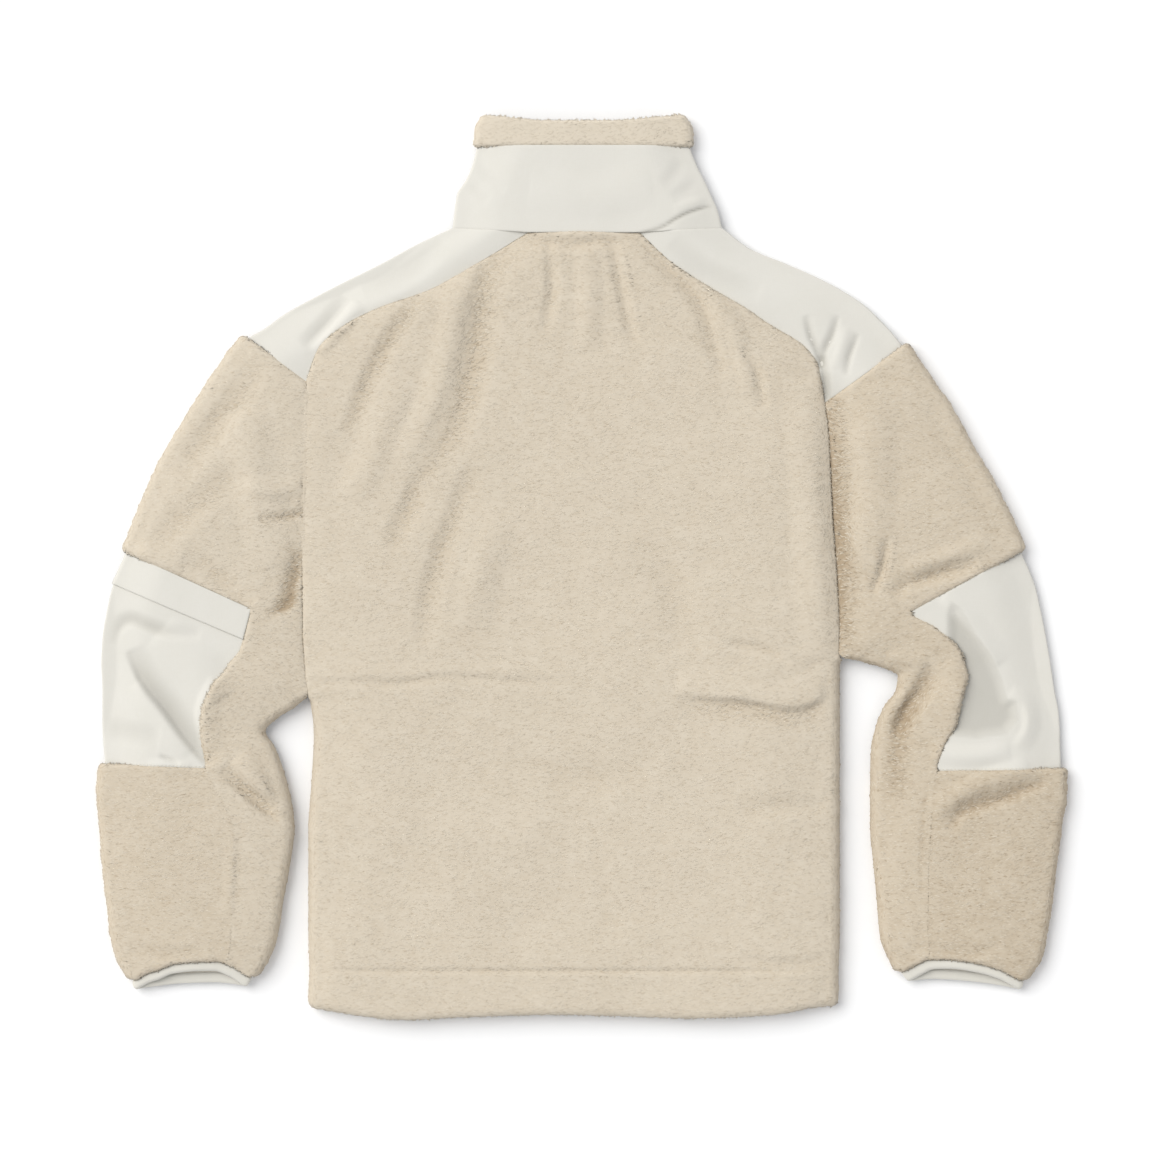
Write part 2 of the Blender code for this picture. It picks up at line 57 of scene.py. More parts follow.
# Cloth. depth is its thickness with pile, roll how far from a seam it rounds down, seam the share
# of the depth that is left there, step the spacing of its grid, and pile how far its curls reach.
Cloth = namedtuple("Cloth", "depth roll seam step pile")
SHERPA = Cloth(7.5, 4.0, 0.68, 2.2, 0.35)
BAND = Cloth(5.0, 3.0, 0.65, 1.7, 0.35)
WOVEN = Cloth(1.5, 1.8, 0.75, 1.9, 0.0)
BINDING = Cloth(3.0, 4.0, 0.25, 1.3, 0.0)
POCKET_CLOTH = Cloth(1.2, 1.4, 0.6, 1.7, 0.0)
COARSE = 3  # a piece's hidden inner side has one grid cell for this many outer ones each way
EDGE_CELLS = 3  # grid cells round an edge, on each layer
SLEEVE_EDGE_CELLS = 4
HIDDEN_STEP = 4.5  # grid spacing on the side that it lies on
SEAM_GAP = 0.3

# Layers, as in the model
FOLD_RADIUS = 1.0
FRONT_LEVEL = 7.5
BACK_LEVEL = FRONT_LEVEL + 2 * FOLD_RADIUS
LEAST_LEVEL = FRONT_LEVEL + 0.5
CROWN = 4.2  # higher than the model's, which leaves out the air between the layers
SHOULDER = 60.0  # the crown rises over this distance from an edge
RISE_REACH = 40.0  # woven cloth rises over this distance to the level of the pile
FOLD_FADE = 14.0  # and creases get their full height over this one
QUARTER = FOLD_RADIUS * math.pi / 2  # length of backing that goes round an edge on each layer
LEAST_DEPTH = 0.45  # share of a cloth's depth that a trough may press it down to

# Neck, collar and zip
NECK_LEFT = (-107, 711)
NECK_RIGHT = (131, 711)
FRONT_NECK_Y = 690  # where the front layer ends
FRONT_NECK_DROP = 44  # how far its middle lies below that, and from where up
NECK_DROP_END = 553
ZIP_X = 7
ZIP_SLOT = 4.0  # half the width of the slit for the zip
ZIP_END = 493
HEM_LIFT = 7  # how far the hem curves up at its corners

BODY_ROWS = np.array([  # y, left, right, left fold, right fold
    (707, -41, 59, 0, 0),
    (680, -85, 88, 0, 0),
    (655, -130, 126, 0, 0),
    (639, -175, 154, 0, 0),
    (626, -202, 173, 0, 0),
    (603, -229, 209, 0, 0),
    (588, -236, 219, 0, 0),
    (572, -240, 222, 0, 0),
    (553, -241, 225, 0, 0),
    (529, -242, 228, 0, 0),
    (493, -242, 230, 0, 0),
    (448, -243, 232, 0, 0),
    (394, -244, 236, 0, 0),
    (347, -244, 238, 0, 0),
    (330, -243, 238, 0, 0),
    (316, -242, 239, 0, 1),
    (297, -240, 239, 0, 1),
    (284, -237, 239, 1, 1),
    (255, -234, 239, 1, 1),
    (215, -236, 239, 1, 1),
    (170, -239, 239, 1, 1),
    (120, -239, 239, 1, 1),
    (75, -239, 239, 1, 1),
    (43, -238, 238, 1, 1),
    (20, -239, 238, 1, 1),
    (2, -238, 238, 1, 1),
], float)

# outer x and y, inner x and y, back seam's share of the width, arch. The inner x is left empty
# where the section ends on the body's edge.
ON_BODY = math.nan
LEFT_SLEEVE = np.array([
    (*NECK_LEFT, ON_BODY, 707, 1, 0),
    (-139, 696, ON_BODY, 680, 1, 0),
    (-172, 678, ON_BODY, 655, 1, 0),
    (-206, 661, ON_BODY, 639, 1, 0),
    (-233, 647, ON_BODY, 626, 1, 0),
    (-261, 631, ON_BODY, 603, 1, 0),
    (-277, 619, ON_BODY, 588, 1, 0),
    (-292, 610, ON_BODY, 572, 1, 0),
    (-309, 589, ON_BODY, 553, 1, 0),
    (-327, 563, ON_BODY, 529, 1, 0),
    (-348, 529, ON_BODY, 493, 0.993, 0),
    (-369, 493, ON_BODY, 448, 0.93, 0),
    (-385, 455, ON_BODY, 394, 0.81, 0),
    (-400, 418, ON_BODY, 347, 0.71, 0),
    (-413, 390, ON_BODY, 330, 0.70, 0),
    (-419, 365, ON_BODY, 316, 0.68, 0),
    (-423, 340, ON_BODY, 297, 0.61, 0),
    (-424, 319, -248, 283, 0.59, 0),
    (-423, 295, -267, 270, 0.61, 0),
    (-423, 272, -278, 258, 0.64, 0),
    (-422, 248, -270, 244, 0.61, 0),
    (-420, 228, -262, 223, 0.60, 0),
    (-422, 201, -255, 196, 0.66, 0),
    (-419, 171, -252, 171, 0.71, 0),
    (-417, 138, -256, 138, 0.72, 0),
    (-413, 106, -262, 106, 0.74, 2),
    (-409, 72, -268, 70, 0.76, 6),
    (-402, 50, -275, 52, 0.78, 11),
    (-394, 35, -284, 38, 0.80, 15),
], float)
LEFT_CUFF = (-393, 26, -288, 29, 0.80, 15)
RIGHT_SLEEVE = np.array([
    (*NECK_RIGHT, ON_BODY, 707, 1, 0),
    (157, 692, ON_BODY, 680, 1, 0),
    (190, 678, ON_BODY, 655, 1, 0),
    (217, 666, ON_BODY, 639, 1, 0),
    (238, 655, ON_BODY, 626, 1, 0),
    (259, 641, ON_BODY, 603, 1, 0),
    (273, 628, ON_BODY, 588, 1, 0),
    (284, 616, ON_BODY, 572, 1, 0),
    (294, 603, ON_BODY, 553, 1, 0),
    (312, 577, ON_BODY, 529, 1, 0),
    (332, 548, ON_BODY, 493, 0.993, 0),
    (352, 512, ON_BODY, 448, 0.95, 0),
    (370, 481, ON_BODY, 394, 0.84, 0),
    (386, 450, ON_BODY, 347, 0.72, 0),
    (400, 419, ON_BODY, 330, 0.61, 0),
    (413, 390, 259, 321, 0.60, 0),
    (419, 365, 279, 315, 0.59, 0),
    (423, 345, 292, 308, 0.60, 0),
    (427, 322, 290, 295, 0.57, 0),
    (431, 295, 280, 281, 0.58, 0),
    (435, 272, 273, 265, 0.59, 0),
    (436, 247, 268, 243, 0.65, 0),
    (436, 224, 267, 222, 0.69, 0),
    (435, 199, 267, 196, 0.71, 0),
    (431, 173, 267, 171, 0.71, 0),
    (427, 140, 270, 138, 0.73, 0),
    (423, 108, 273, 106, 0.74, 2),
    (418, 77, 276, 72, 0.75, 6),
    (413, 54, 283, 54, 0.77, 10),
    (401, 35, 288, 43, 0.79, 14),
], float)
RIGHT_CUFF = (400, 26, 294, 34, 0.79, 14)
FRONT_ARCH = 0.28  # share of the arch that the front layer has
# The pocket band, which lies on the left elbow panel from its first row down
POCKET_ROWS = np.array([
    (-400, 418, ON_BODY, 347, 0.71, 0),
    (-413, 390, ON_BODY, 318, 0.682, 0),
], float)
# Row of the table at which each piece starts or ends
At = namedtuple("At", "cap under elbow forearm cuff")
LEFT_AT = At(7, 10, 13, 21, 28)
RIGHT_AT = At(8, 10, 14, 22, 29)

COLLAR_ROWS = np.array([  # y, left, right, dip of the back's edge
    (711, -107, 131, 4),
    (727, -105, 127, 2),
    (741, -103, 121, 0),
    (754, -95, 115, 0),
    (768, -89, 108, 0),
    (785, -85, 102, 0),
    (799, -84, 101, 2),
    (812, -78, 95, 5),
], float)
BAND_Y = 785

# How far pile hides the armhole's seam, from 0 to 1, against y. The yokes' seams end at ARMHOLE_TOP.
ARMHOLE_HIDDEN = {
    LEFT: ((305, 0.6), (330, 0.3), (405, 0.4), (425, 1.0), (560, 1.0), (576, 0.5)),
    RIGHT: ((305, 0.6), (350, 0.0), (545, 0.0), (572, 0.0)),
}
ARMHOLE_TOP = {LEFT: 580, RIGHT: 560}
# The same for the body's own pile at its right edge
OVERHANG = ((300, 0.3), (330, 0.35), (545, 0.35), (562, 0.2))

# Profile of the arch over each cuff, from the outer edge to the inner one
ARCHES = {
    LEFT: ((0, 0), (0.1, 0.36), (0.2, 0.56), (0.34, 0.9), (0.54, 1), (0.72, 0.97), (0.86, 0.62), (1, 0)),
    RIGHT: ((0, 0), (0.18, 0.58), (0.38, 0.89), (0.58, 1), (0.78, 0.89), (0.89, 0.49), (1, 0)),
}

# Creases of the back layer: a line, the height of the ridge or, below 0, depth of the trough, and
# its reach to the left and right of the line. sharp is 0 for a rounded crease and 1 for a pinched
# one, shade is painted shade, how much darker its colour is made than its depth alone makes it, and
# lean how far its top leans right.
Crease = namedtuple("Crease", "line height left right sharp shade lean", defaults=(0, 0, 0))
# A flat-bottomed hollow: its outline, depth, how far its slope reaches in, and its painted shade
Hollow = namedtuple("Hollow", "line depth slope shade")
DEPTH_SHADE = 0.04  # painted shade for each millimetre of depth
LINE_STEP = 6.0  # spacing of the points that a crease's line is followed by
HOLLOW_EDGE = 2.5  # how far in a hollow's painted shade reaches its full strength
UNEVENNESS = ((1.5, 95, 3), (0.8, 38, 5))  # rise, size and seed of each soft wave of the cloth
BODY_CREASES = [Crease(*row) for row in (
    (((-53, 698), (-76, 668), (-84, 628), (-93, 579), (-106, 535), (-132, 487)), -3.1, 22, 15, 0.2, 0.11),
    (((-90, 684), (-106, 637), (-114, 592), (-130, 545), (-155, 500)), 2.9, 14, 20),
    (((-132, 500), (-150, 455), (-165, 420)), -2.3, 18, 14, 0.2, 0.07),
    (((-139, 648), (-160, 618), (-185, 572), (-204, 520)), -2.4, 14, 13, 0.2, 0.11),
    (((-152, 580), (-176, 520), (-200, 466)), 2.6, 20, 20),
    (((-90, 498), (-108, 450), (-126, 400), (-138, 335)), -2.4, 18, 13, 0.2, 0.06),
    (((-66, 460), (-82, 410), (-95, 350)), 2.0, 24, 20),
    (((57, 702), (82, 676), (112, 646), (125, 610), (134, 575)), -3.2, 9, 13, 0.3),
    (((90, 682), (127, 648), (150, 600), (158, 560)), 2.2, 14, 12),
    (((34, 700), (43, 655), (54, 605)), -2.6, 9, 9, 0.3),
    (((-23, 700), (-20, 655), (-27, 615)), -2.2, 10, 9, 0.3),
    (((11, 695), (14, 646), (12, 600)), 2.2, 14, 14),
    (((152, 604), (165, 579), (170, 548)), -2.4, 8, 8, 0.4),
    (((-60, 702), (0, 697), (62, 702)), -2.4, 10, 10),
    (((-243, 302), (-193, 303), (-157, 301), (-121, 308), (-67, 304), (-13, 303)), -1.1, 5, 8, 0.2, 0.02),
    (((-236, 309), (-157, 310), (-60, 312), (0, 309)), 0.9, 12, 8),
    (
        ((92, 297), (129, 293), (150, 292), (168, 289), (187, 285), (202, 285), (216, 289), (238, 300)),
        4.2, 30, 10, 0.1, 0, 1.5,
    ),
    (
        ((94, 287), (129, 283), (150, 283), (168, 280), (187, 276), (202, 276), (216, 280), (238, 291)),
        -1.7, 7, 24, 0.2, 0.13,
    ),
    (((138, 338), (172, 331), (194, 318)), -2.0, 7, 9, 0.3),
    (((112, 333), (160, 316), (214, 322)), 1.4, 18, 14),
    (((146, 187), (194, 191), (238, 189)), -1.7, 13, 13, 0.1),
    (((208, 575), (216, 460), (224, 320)), 4.0, 18, 26),
    (((60, 430), (90, 380), (100, 330)), -1.6, 26, 22),
    (((-60, 240), (0, 215), (80, 225)), -1.3, 22, 22),
    (((-190, 200), (-120, 165), (-40, 160)), 1.3, 26, 26),
    (((150, 54), (190, 49), (232, 52)), -1.8, 8, 8, 0.3),
)]
# Where body and sleeve lie smoothly together
ARMHOLE_CREASES = [Crease(*row) for row in (
    (((-240, 575), (-242, 500), (-244, 430), (-246, 400)), 2.8, 34, 38),
    (((-192, 643), (-212, 620), (-232, 598)), 3.2, 11, 10),
)]
SLEEVE_CREASES = [*ARMHOLE_CREASES, *(Crease(*row) for row in (
    # left cap and under sleeve
    (((-280, 590), (-300, 560), (-322, 532), (-343, 505), (-352, 488)), -2.6, 17, 19, 0.1, 0.04),
    (((-292, 496), (-318, 477), (-345, 456), (-368, 434), (-380, 416)), -1.7, 17, 19, 0, 0.05),
    (((-300, 545), (-285, 480), (-268, 405)), 4.2, 30, 26),
    (((-284, 450), (-262, 450), (-243, 455), (-236, 460)), -1.9, 8, 8, 0.3, 0.26),
    (((-296, 476), (-266, 474), (-244, 478)), 2.0, 14, 10),
    (((-246, 424), (-249, 402), (-254, 382), (-262, 362)), -2.4, 7, 15, 0.2, 0.42),
    (((-243, 386), (-252, 374), (-262, 369), (-276, 362)), -1.5, 6, 8, 0.3, 0.3),
    (((-350, 418), (-318, 396), (-288, 372)), -2.8, 14, 12, 0.3),
    (((-410, 425), (-380, 418), (-350, 405)), 2.2, 14, 12),
    # left yoke
    (((-204, 648), (-222, 626), (-243, 604)), -3.0, 9, 12, 0.4),
    (((-118, 700), (-150, 672), (-190, 655)), -1.6, 16, 14),
    # right yoke
    (((208, 632), (212, 614), (218, 600), (222, 584)), -2.8, 7, 3.5, 0.6, 0.1),
    (((238, 632), (232, 612), (226, 600), (223, 584)), -2.8, 3.5, 8, 0.6, 0.1),
    (((256, 616), (251, 603), (247, 591), (245, 578)), -2.4, 3.5, 6, 0.6, 0.1),
    (((246, 622), (240, 604), (234, 584)), 1.6, 8, 7),
    (((223, 596), (225, 575), (227, 556)), -3.4, 8, 5, 0.3, 0.06),
    (((88, 698), (120, 672), (168, 652)), -1.5, 16, 14),
    # right cap and under sleeve
    (((223, 580), (229, 520), (233, 440), (238, 320)), -2.4, 28, 8, 0.3, 0.3),
    (((262, 570), (268, 500), (262, 400)), 3.0, 26, 22),
    (((282, 432), (276, 400), (268, 382)), -3.4, 6, 8, 0.5),
    (((286, 378), (296, 388), (318, 396), (364, 408)), -4.2, 14, 10, 0.3),
    (((300, 402), (330, 412), (372, 428)), 2.4, 14, 10),
    (((330, 560), (360, 500), (392, 436)), -1.8, 26, 26),
    # left elbow
    (
        ((-417, 336), (-410, 352), (-398, 358), (-384, 353), (-367, 347), (-336, 344)),
        -2.8, 11, 7, 0.3, 0.06,
    ),
    (((-401, 330), (-386, 300), (-367, 276), (-350, 253), (-326, 226)), -5.6, 24, 6, 0.4, 0.06),
    (((-392, 303), (-366, 268), (-344, 240)), 2.2, 8, 16),
    (((-372, 348), (-340, 318), (-318, 286)), 3.4, 26, 26),
    (((-420, 262), (-396, 256), (-372, 252)), -1.6, 14, 14),
    (((-372, 236), (-364, 233), (-354, 229)), -2.6, 3.5, 4, 0.7),
    (((-382, 228), (-366, 229), (-344, 226)), 1.8, 6, 6),
    # left elbow's inner side and forearm
    (((-318, 224), (-297, 205), (-279, 189), (-255, 174)), -4.4, 19, 7, 0.3, 0.08),
    (((-305, 232), (-285, 212), (-262, 196)), 4.4, 20, 10),
    (((-322, 306), (-334, 280), (-330, 240)), 2.6, 20, 8),
    (((-299, 176), (-301, 130), (-304, 84)), -0.2, 3, 4, 0, 0.07),
    (((-306, 170), (-308, 130), (-311, 90)), 0.8, 6, 8),
    # right elbow
    (((330, 378), (352, 356), (368, 338), (382, 318)), 3.0, 18, 7, 0.3),
    (((392, 292), (404, 285), (408, 262), (398, 244)), 2.4, 14, 7, 0.2),
    (((322, 240), (356, 236), (392, 240)), 2.6, 12, 12),
    # right elbow's inner side and forearm
    (((326, 314), (311, 295), (298, 277), (284, 254)), -5.6, 16, 16, 0.2),
    (((336, 322), (346, 300), (336, 268)), 2.0, 10, 18),
    (((302, 300), (296, 268), (288, 230), (292, 190)), -1.2, 20, 18, 0, 0.16),
    (((282, 322), (300, 318), (318, 318)), 2.4, 16, 12),
    (((335, 170), (346, 183), (386, 198), (426, 214)), -4.2, 12, 9, 0.4),
    (((322, 186), (350, 204), (410, 226)), 3.2, 14, 12),
    (((319, 218), (314, 190), (312, 150), (311, 103)), -0.3, 4, 4, 0, 0.1),
    # above the cuffs
    (((-402, 66), (-370, 58), (-330, 60)), -1.4, 9, 9),
    (((300, 66), (340, 60), (384, 62)), -1.4, 9, 9),
))]
# On the right elbow panel only: a hollow with painted shade in it
ELBOW_HOLLOW = Hollow(
    (
        (338, 377), (348, 371), (363, 346), (376, 328), (386, 307), (391, 288), (399, 287), (401, 268),
        (390, 254), (362, 250), (318, 255), (306, 285), (318, 318), (334, 344), (334, 366),
    ),
    3.0, 11.0, 0.1,
)
COLLAR_CREASES = [Crease(*row) for row in (
    (((-104, 754), (-90, 747), (-76, 736)), -1.0, 10, 10, 0.2),
    (((-92, 772), (-76, 754), (-62, 744)), -0.8, 10, 12),
    (((58, 706), (78, 711), (91, 719), (103, 725), (122, 731), (146, 738)), -1.4, 2.4, 3.4, 0.6, 0.34),
    (((128, 742), (108, 734), (90, 727)), 1.2, 9, 6),
    (((98, 772), (88, 757), (80, 748)), -0.9, 10, 10, 0.2),
    (((114, 756), (102, 746), (88, 738)), -0.8, 9, 9, 0.2),
    (((-40, 745), (20, 738), (70, 748)), 1.2, 26, 22),
)]
HEM_STITCH_Y = 43
HEM_STITCH_DEPTH = 1.7
HEM_STITCH_REACH = 3.5
HEM_CORNER = 6  # power: how far towards its corners the hem stays straight
NECK_CURVE = 2.2
HEM_WAVES = ((-157, -3.5, 42), (-20, 2.0, 50), (110, -1.5, 40), (215, 3.5, 22))  # x, rise, reach

# Finish
# Colours of pile along its tone, which carries painted shade and light as well as its own random tone;
# the deep and dark colours are mostly painted shade
FLEECE_DEEP = (0.41, 0.322, 0.222)
FLEECE_DARK = (0.56, 0.48, 0.37)
FLEECE_MID = (0.645, 0.575, 0.47)
FLEECE_LIGHT = (0.69, 0.62, 0.51)
KNIT_BACK = (0.72, 0.66, 0.55)
SHELL_COLOUR = (0.685, 0.665, 0.612)
SHELL_SHADE = (0.66, 0.64, 0.58)
PAINTED_SHADE_TINT = (0.40, 0.39, 0.36)  # tint of painted shade on woven cloth at a tone of 0.4
BINDING_COLOUR = (0.69, 0.665, 0.60)
THREAD_COLOUR = (0.66, 0.62, 0.53)
COIL_COLOUR = (0.62, 0.59, 0.52)
METAL_COLOUR = (0.60, 0.58, 0.54)

SIDE_CURLS = 2.0  # how much further curls stand out at a piece's sides, where they make its outline
SEAM_PAINTED_LIGHT = 0.4  # painted light: how much lighter pile is made where it rounds down at a seam
TILT_PAINTED_SHADE = 0.35  # painted shade: how much darker it is made on its tilted sides
# Painted shade and light: how much darker or lighter each panel's pile is made, for how light falls on it
PANEL_PAINTED_SHADING = {
    "back_body": -0.04, "forearm_left": -0.22, "forearm_right": -0.42, "sleeve_cap_right": -0.24,
    "under_sleeve_right": -0.34, "under_sleeve_left": -0.08, "collar_band": 0.25,
}

GROUND_SHARE = 0.5  # of a fibre's light that follows the cloth under it

# Where the garment's frame lies in the model's frame
coil_low, coil_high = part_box("zip_coil")
OFFSET = np.array([
    (coil_low.x + coil_high.x) / 2 - ZIP_X * MM,
    coil_low.y - (ZIP_END + SEAM_GAP) * MM,
    0,
])


# Curves, noise and places


def even(count):
    return np.linspace(0, 1, count + 1)


def smooth(share):
    share = np.clip(share, 0, 1)
    return share * share * (3 - 2 * share)


def unit(vectors):
    return vectors / np.maximum(np.linalg.norm(vectors, axis=-1), 1e-9)[..., None]


def distances_along(points):
    """How far along a line of points each of them lies."""
    return np.concatenate([[0], np.cumsum(np.linalg.norm(np.diff(points, axis=0), axis=1))])


def at_places(at, along, values):
    """Rows of values at places between the rows, which lie at the distances along."""
    return np.stack([np.interp(at, along, column) for column in values.T], axis=1)


def hermite(knots, values, tangents, at):
    """Values at places between knots, on cubic curves with the given tangents."""
    i = np.clip(np.searchsorted(knots, at, side="right") - 1, 0, len(knots) - 2)
    step = np.diff(knots)[i][:, None]
    share = (at - knots[i])[:, None] / step
    square, cube = share**2, share**3
    result = (2 * cube - 3 * square + 1) * values[i] + (3 * square - 2 * cube) * values[i + 1]
    return result + step * ((cube - 2 * square + share) * tangents[i] + (cube - square) * tangents[i + 1])


def curve(knots, values, at):
    """Values at places between knots, on smooth curves that never pass beyond the values."""
    knots, values, at = (np.asarray(item, float) for item in (knots, values, at))
    table = values.reshape(len(knots), -1)
    slope = np.diff(table, axis=0) / np.diff(knots)[:, None]
    product = slope[:-1] * slope[1:]
    total = slope[:-1] + slope[1:]
    inner = np.where(product > 0, 2 * product / np.where(total == 0, 1, total), 0)
    result = hermite(knots, table, np.concatenate([slope[:1], inner, slope[-1:]]), at)
    return result.reshape(len(at), *values.shape[1:])


def field(points, size, seed=0):
    """Random field between about -1 and 1, with bumps about size across, which may be per axis."""
    places = points.reshape(-1, 3) / size + 31.7 * seed
    values = [noise.noise(place) for place in places.tolist()]
    return np.array(values).reshape(points.shape[:-1])


NEAR_EDGE = np.array([0, 0.5, 1.3, 2.5, 4.2, 6.4])


def graded(length, step, start=True, end=True, fill=0):
    """Shares of a length, about a step apart and closer together at the ends named. fill is how
    many cells the neighbouring runs have, so that together they divide by COARSE."""
    first = NEAR_EDGE if start else NEAR_EDGE[:1]
    last = length - (NEAR_EDGE if end else NEAR_EDGE[:1])[::-1]
    count = max(2, round((last[0] - first[-1]) / step))
    count += -(count + len(first) + len(last) - 2 + fill) % COARSE
    middle = np.linspace(first[-1], last[0], count + 1)
    return np.concatenate([first[:-1], middle, last[1:]]) / length


# Sections of the body, sleeves and collar


class Sections:
    """Lines across the garment, seen from above, from edge a to edge b, on both layers."""

    def __init__(self, a, b, folds, shifts, front_b=None):
        self.a = a
        self.b = (b, b if front_b is None else front_b)
        self.fold = folds
        self.shift = shifts
        self.width = np.linalg.norm(b - a, axis=1)
        self.sag = np.zeros(len(a))
        self.rise = 0.0

    def direction(self, side):
        return unit(self.b[side] - self.a)

    def in_plan(self, side, share):
        plan = self.a[:, None] + (self.b[side] - self.a)[:, None] * share[..., None]
        plan[..., 1] += self.shift[side](share)
        return plan


def outline(y, column):
    """The body's LEFT or RIGHT outline, or how far it is folded there (3 and 4)."""
    rows = BODY_ROWS[::-1]
    return curve(rows[:, 0], rows[:, column], y)


def armhole_hidden(y, column):
    return np.where(y > ARMHOLE_TOP[column], 0, np.interp(y, *zip(*ARMHOLE_HIDDEN[column])))


def edge_reach(fold):
    """How far inside the outline a layer's own surface ends: more where it folds round."""
    return fold * (FOLD_RADIUS + SHERPA.depth) + (1 - fold) * QUARTER


def body_sections(y):
    left, right, *folds = (outline(y, column) for column in (1, 2, 3, 4))
    low, next_low = BODY_ROWS[-1, 0], BODY_ROWS[-2, 0]
    lift = HEM_LIFT * smooth(1 - (y - low) / (next_low - low))
    drop = FRONT_NECK_DROP * np.maximum(y - NECK_DROP_END, 0) / (FRONT_NECK_Y - NECK_DROP_END)
    near_hem = smooth(1 - (y - low) / HEM_STITCH_Y)
    a = np.stack([left + edge_reach(folds[0]), y], axis=1)
    b = np.stack([right - edge_reach(folds[1]), y], axis=1)

    def hem(share):
        x = a[:, :1] + (b - a)[:, :1] * share
        waves = sum(rise * np.exp(-(((x - at) / reach) ** 2)) for at, rise, reach in HEM_WAVES)
        return lift[:, None] * abs(2 * share - 1) ** HEM_CORNER + near_hem[:, None] * waves

    def neckline(share):
        return hem(share) - drop[:, None] * (1 - abs(2 * share - 1) ** NECK_CURVE)

    return Sections(a, b, folds, (hem, neckline))


class Sleeve:
    """One sleeve's sections, read off its table by the distance along it."""

    def __init__(self, rows, column):
        self.rows = rows = np.array(rows, float)
        self.column = column
        inner_x = rows[:, 2].copy()
        on_body = np.isnan(inner_x)
        inner_x[on_body] = outline(rows[on_body, 3], column)
        self.inner = np.stack([inner_x, rows[:, 3]], axis=1)
        self.knots = (distances_along(rows[:, :2]) + distances_along(self.inner)) / 2
        self.body_end = self.knots[on_body][-1] if on_body.any() else -1.0
        self.fold = np.where(on_body, 0.0, 1.0)

    def arch(self, share):
        return curve(*zip(*ARCHES[self.column]), share.ravel()).reshape(share.shape)

    def sections(self, at, sag=0.0):
        outer = curve(self.knots, self.rows[:, :2], at)
        inner = curve(self.knots, self.inner, at)
        on_body = at <= self.body_end
        inner[on_body, 0] = outline(inner[on_body, 1], self.column)
        fold = curve(self.knots, self.fold, at)
        seam, arch = curve(self.knots, self.rows[:, 4:6], at).T
        ends = []
        for end_y in (inner[:, 1], np.minimum(inner[:, 1], FRONT_NECK_Y)):
            end = np.stack([np.where(on_body, outline(end_y, self.column), inner[:, 0]), end_y], axis=1)
            ends.append(end + edge_reach(fold)[:, None] * unit(outer - end))
        shifts = (
            lambda share: arch[:, None] * self.arch(share),
            lambda share: FRONT_ARCH * arch[:, None] * self.arch(share),
        )
        made = Sections(outer, ends[0], (np.ones(len(at)), fold), shifts, front_b=ends[1])
        made.seam = seam
        made.hidden_seam = np.where(on_body, armhole_hidden(inner[:, 1], self.column), 1.0)
        made.sag = sag * np.sin(np.pi * (at - at[0]) / (at[-1] - at[0]))
        return made


def neckline_drop(x):
    """How far the collar's front edge lies below its back edge."""
    top = body_sections(np.array([float(FRONT_NECK_Y)]))
    plan = top.in_plan(FRONT, even(59)[None])[0]
    low = COLLAR_ROWS[0]
    places = [low[1], plan[0, 0] - QUARTER, *plan[:, 0], plan[-1, 0] + QUARTER, low[2]]
    drops = low[0] - np.array([low[0], plan[0, 1], *plan[:, 1], plan[-1, 1], low[0]])
    return np.interp(x, places, drops)


def collar_sections(y):
    left, right, dip = curve(COLLAR_ROWS[:, 0], COLLAR_ROWS[:, 1:], y).T
    low = COLLAR_ROWS[0]
    reach = low[2] - low[1]
    flat = [0, (BODY_ROWS[0, 1] - low[1]) / reach, (BODY_ROWS[0, 2] - low[1]) / reach, 1]
    shifts = (
        lambda share: -dip[:, None] * np.interp(share, flat, [0, 1, 1, 0]),
        lambda share: -neckline_drop(low[1] + reach * share),
    )
    fold = np.ones(len(y))
    return Sections(np.stack([left, y], axis=1), np.stack([right, y], axis=1), (fold, fold), shifts)


# Relief


def rounded_line(points):
    """Points about LINE_STEP apart on a smooth curve through the given ones."""
    points = np.array(points, float)
    knots = distances_along(points)
    if len(points) < 3:
        return at_places(even(4) * knots[-1], knots, points)
    at = even(max(6, round(knots[-1] / LINE_STEP))) * knots[-1]
    return hermite(knots, points, np.gradient(points, knots, axis=0), at)


def nearest_on(start, run, plan):
    """How far along each run the point nearest to each place lies, and the offsets from there."""
    offset = plan[:, None] - start
    along = np.clip((offset * run).sum(-1) / (run**2).sum(-1), 0, 1)
    return along, offset - along[..., None] * run


def crease_shape(crease, plan):
    """Height that a crease adds at each place, how far it moves the cloth sideways, and its painted
    shade.
    """
    line = rounded_line(crease.line)
    runs = np.diff(line, axis=0)
    travelled = distances_along(line)
    along, apart = nearest_on(line[:-1], runs, plan)
    nearest = (apart**2).sum(-1).argmin(axis=1)
    rows = np.arange(len(plan))
    apart, run = apart[rows, nearest], unit(runs)[nearest]
    left_of = run[:, 0] * apart[:, 1] - run[:, 1] * apart[:, 0]
    share = (travelled[nearest] + along[rows, nearest] * np.diff(travelled)[nearest]) / travelled[-1]
    taper = np.sqrt(np.sin(np.pi * np.clip(share, 0, 1)))
    reach = np.where(left_of > 0, crease.left, crease.right)
    across = np.clip(np.linalg.norm(apart, axis=1) / reach, 0, 1)
    strength = taper * ((1 - crease.sharp) * (1 - across**2) ** 2 + crease.sharp * (1 - across) ** 2)
    rightward = np.stack([run[:, 1], -run[:, 0]], axis=1)
    return crease.height * strength, crease.lean * strength[:, None] * rightward, crease.shade * strength


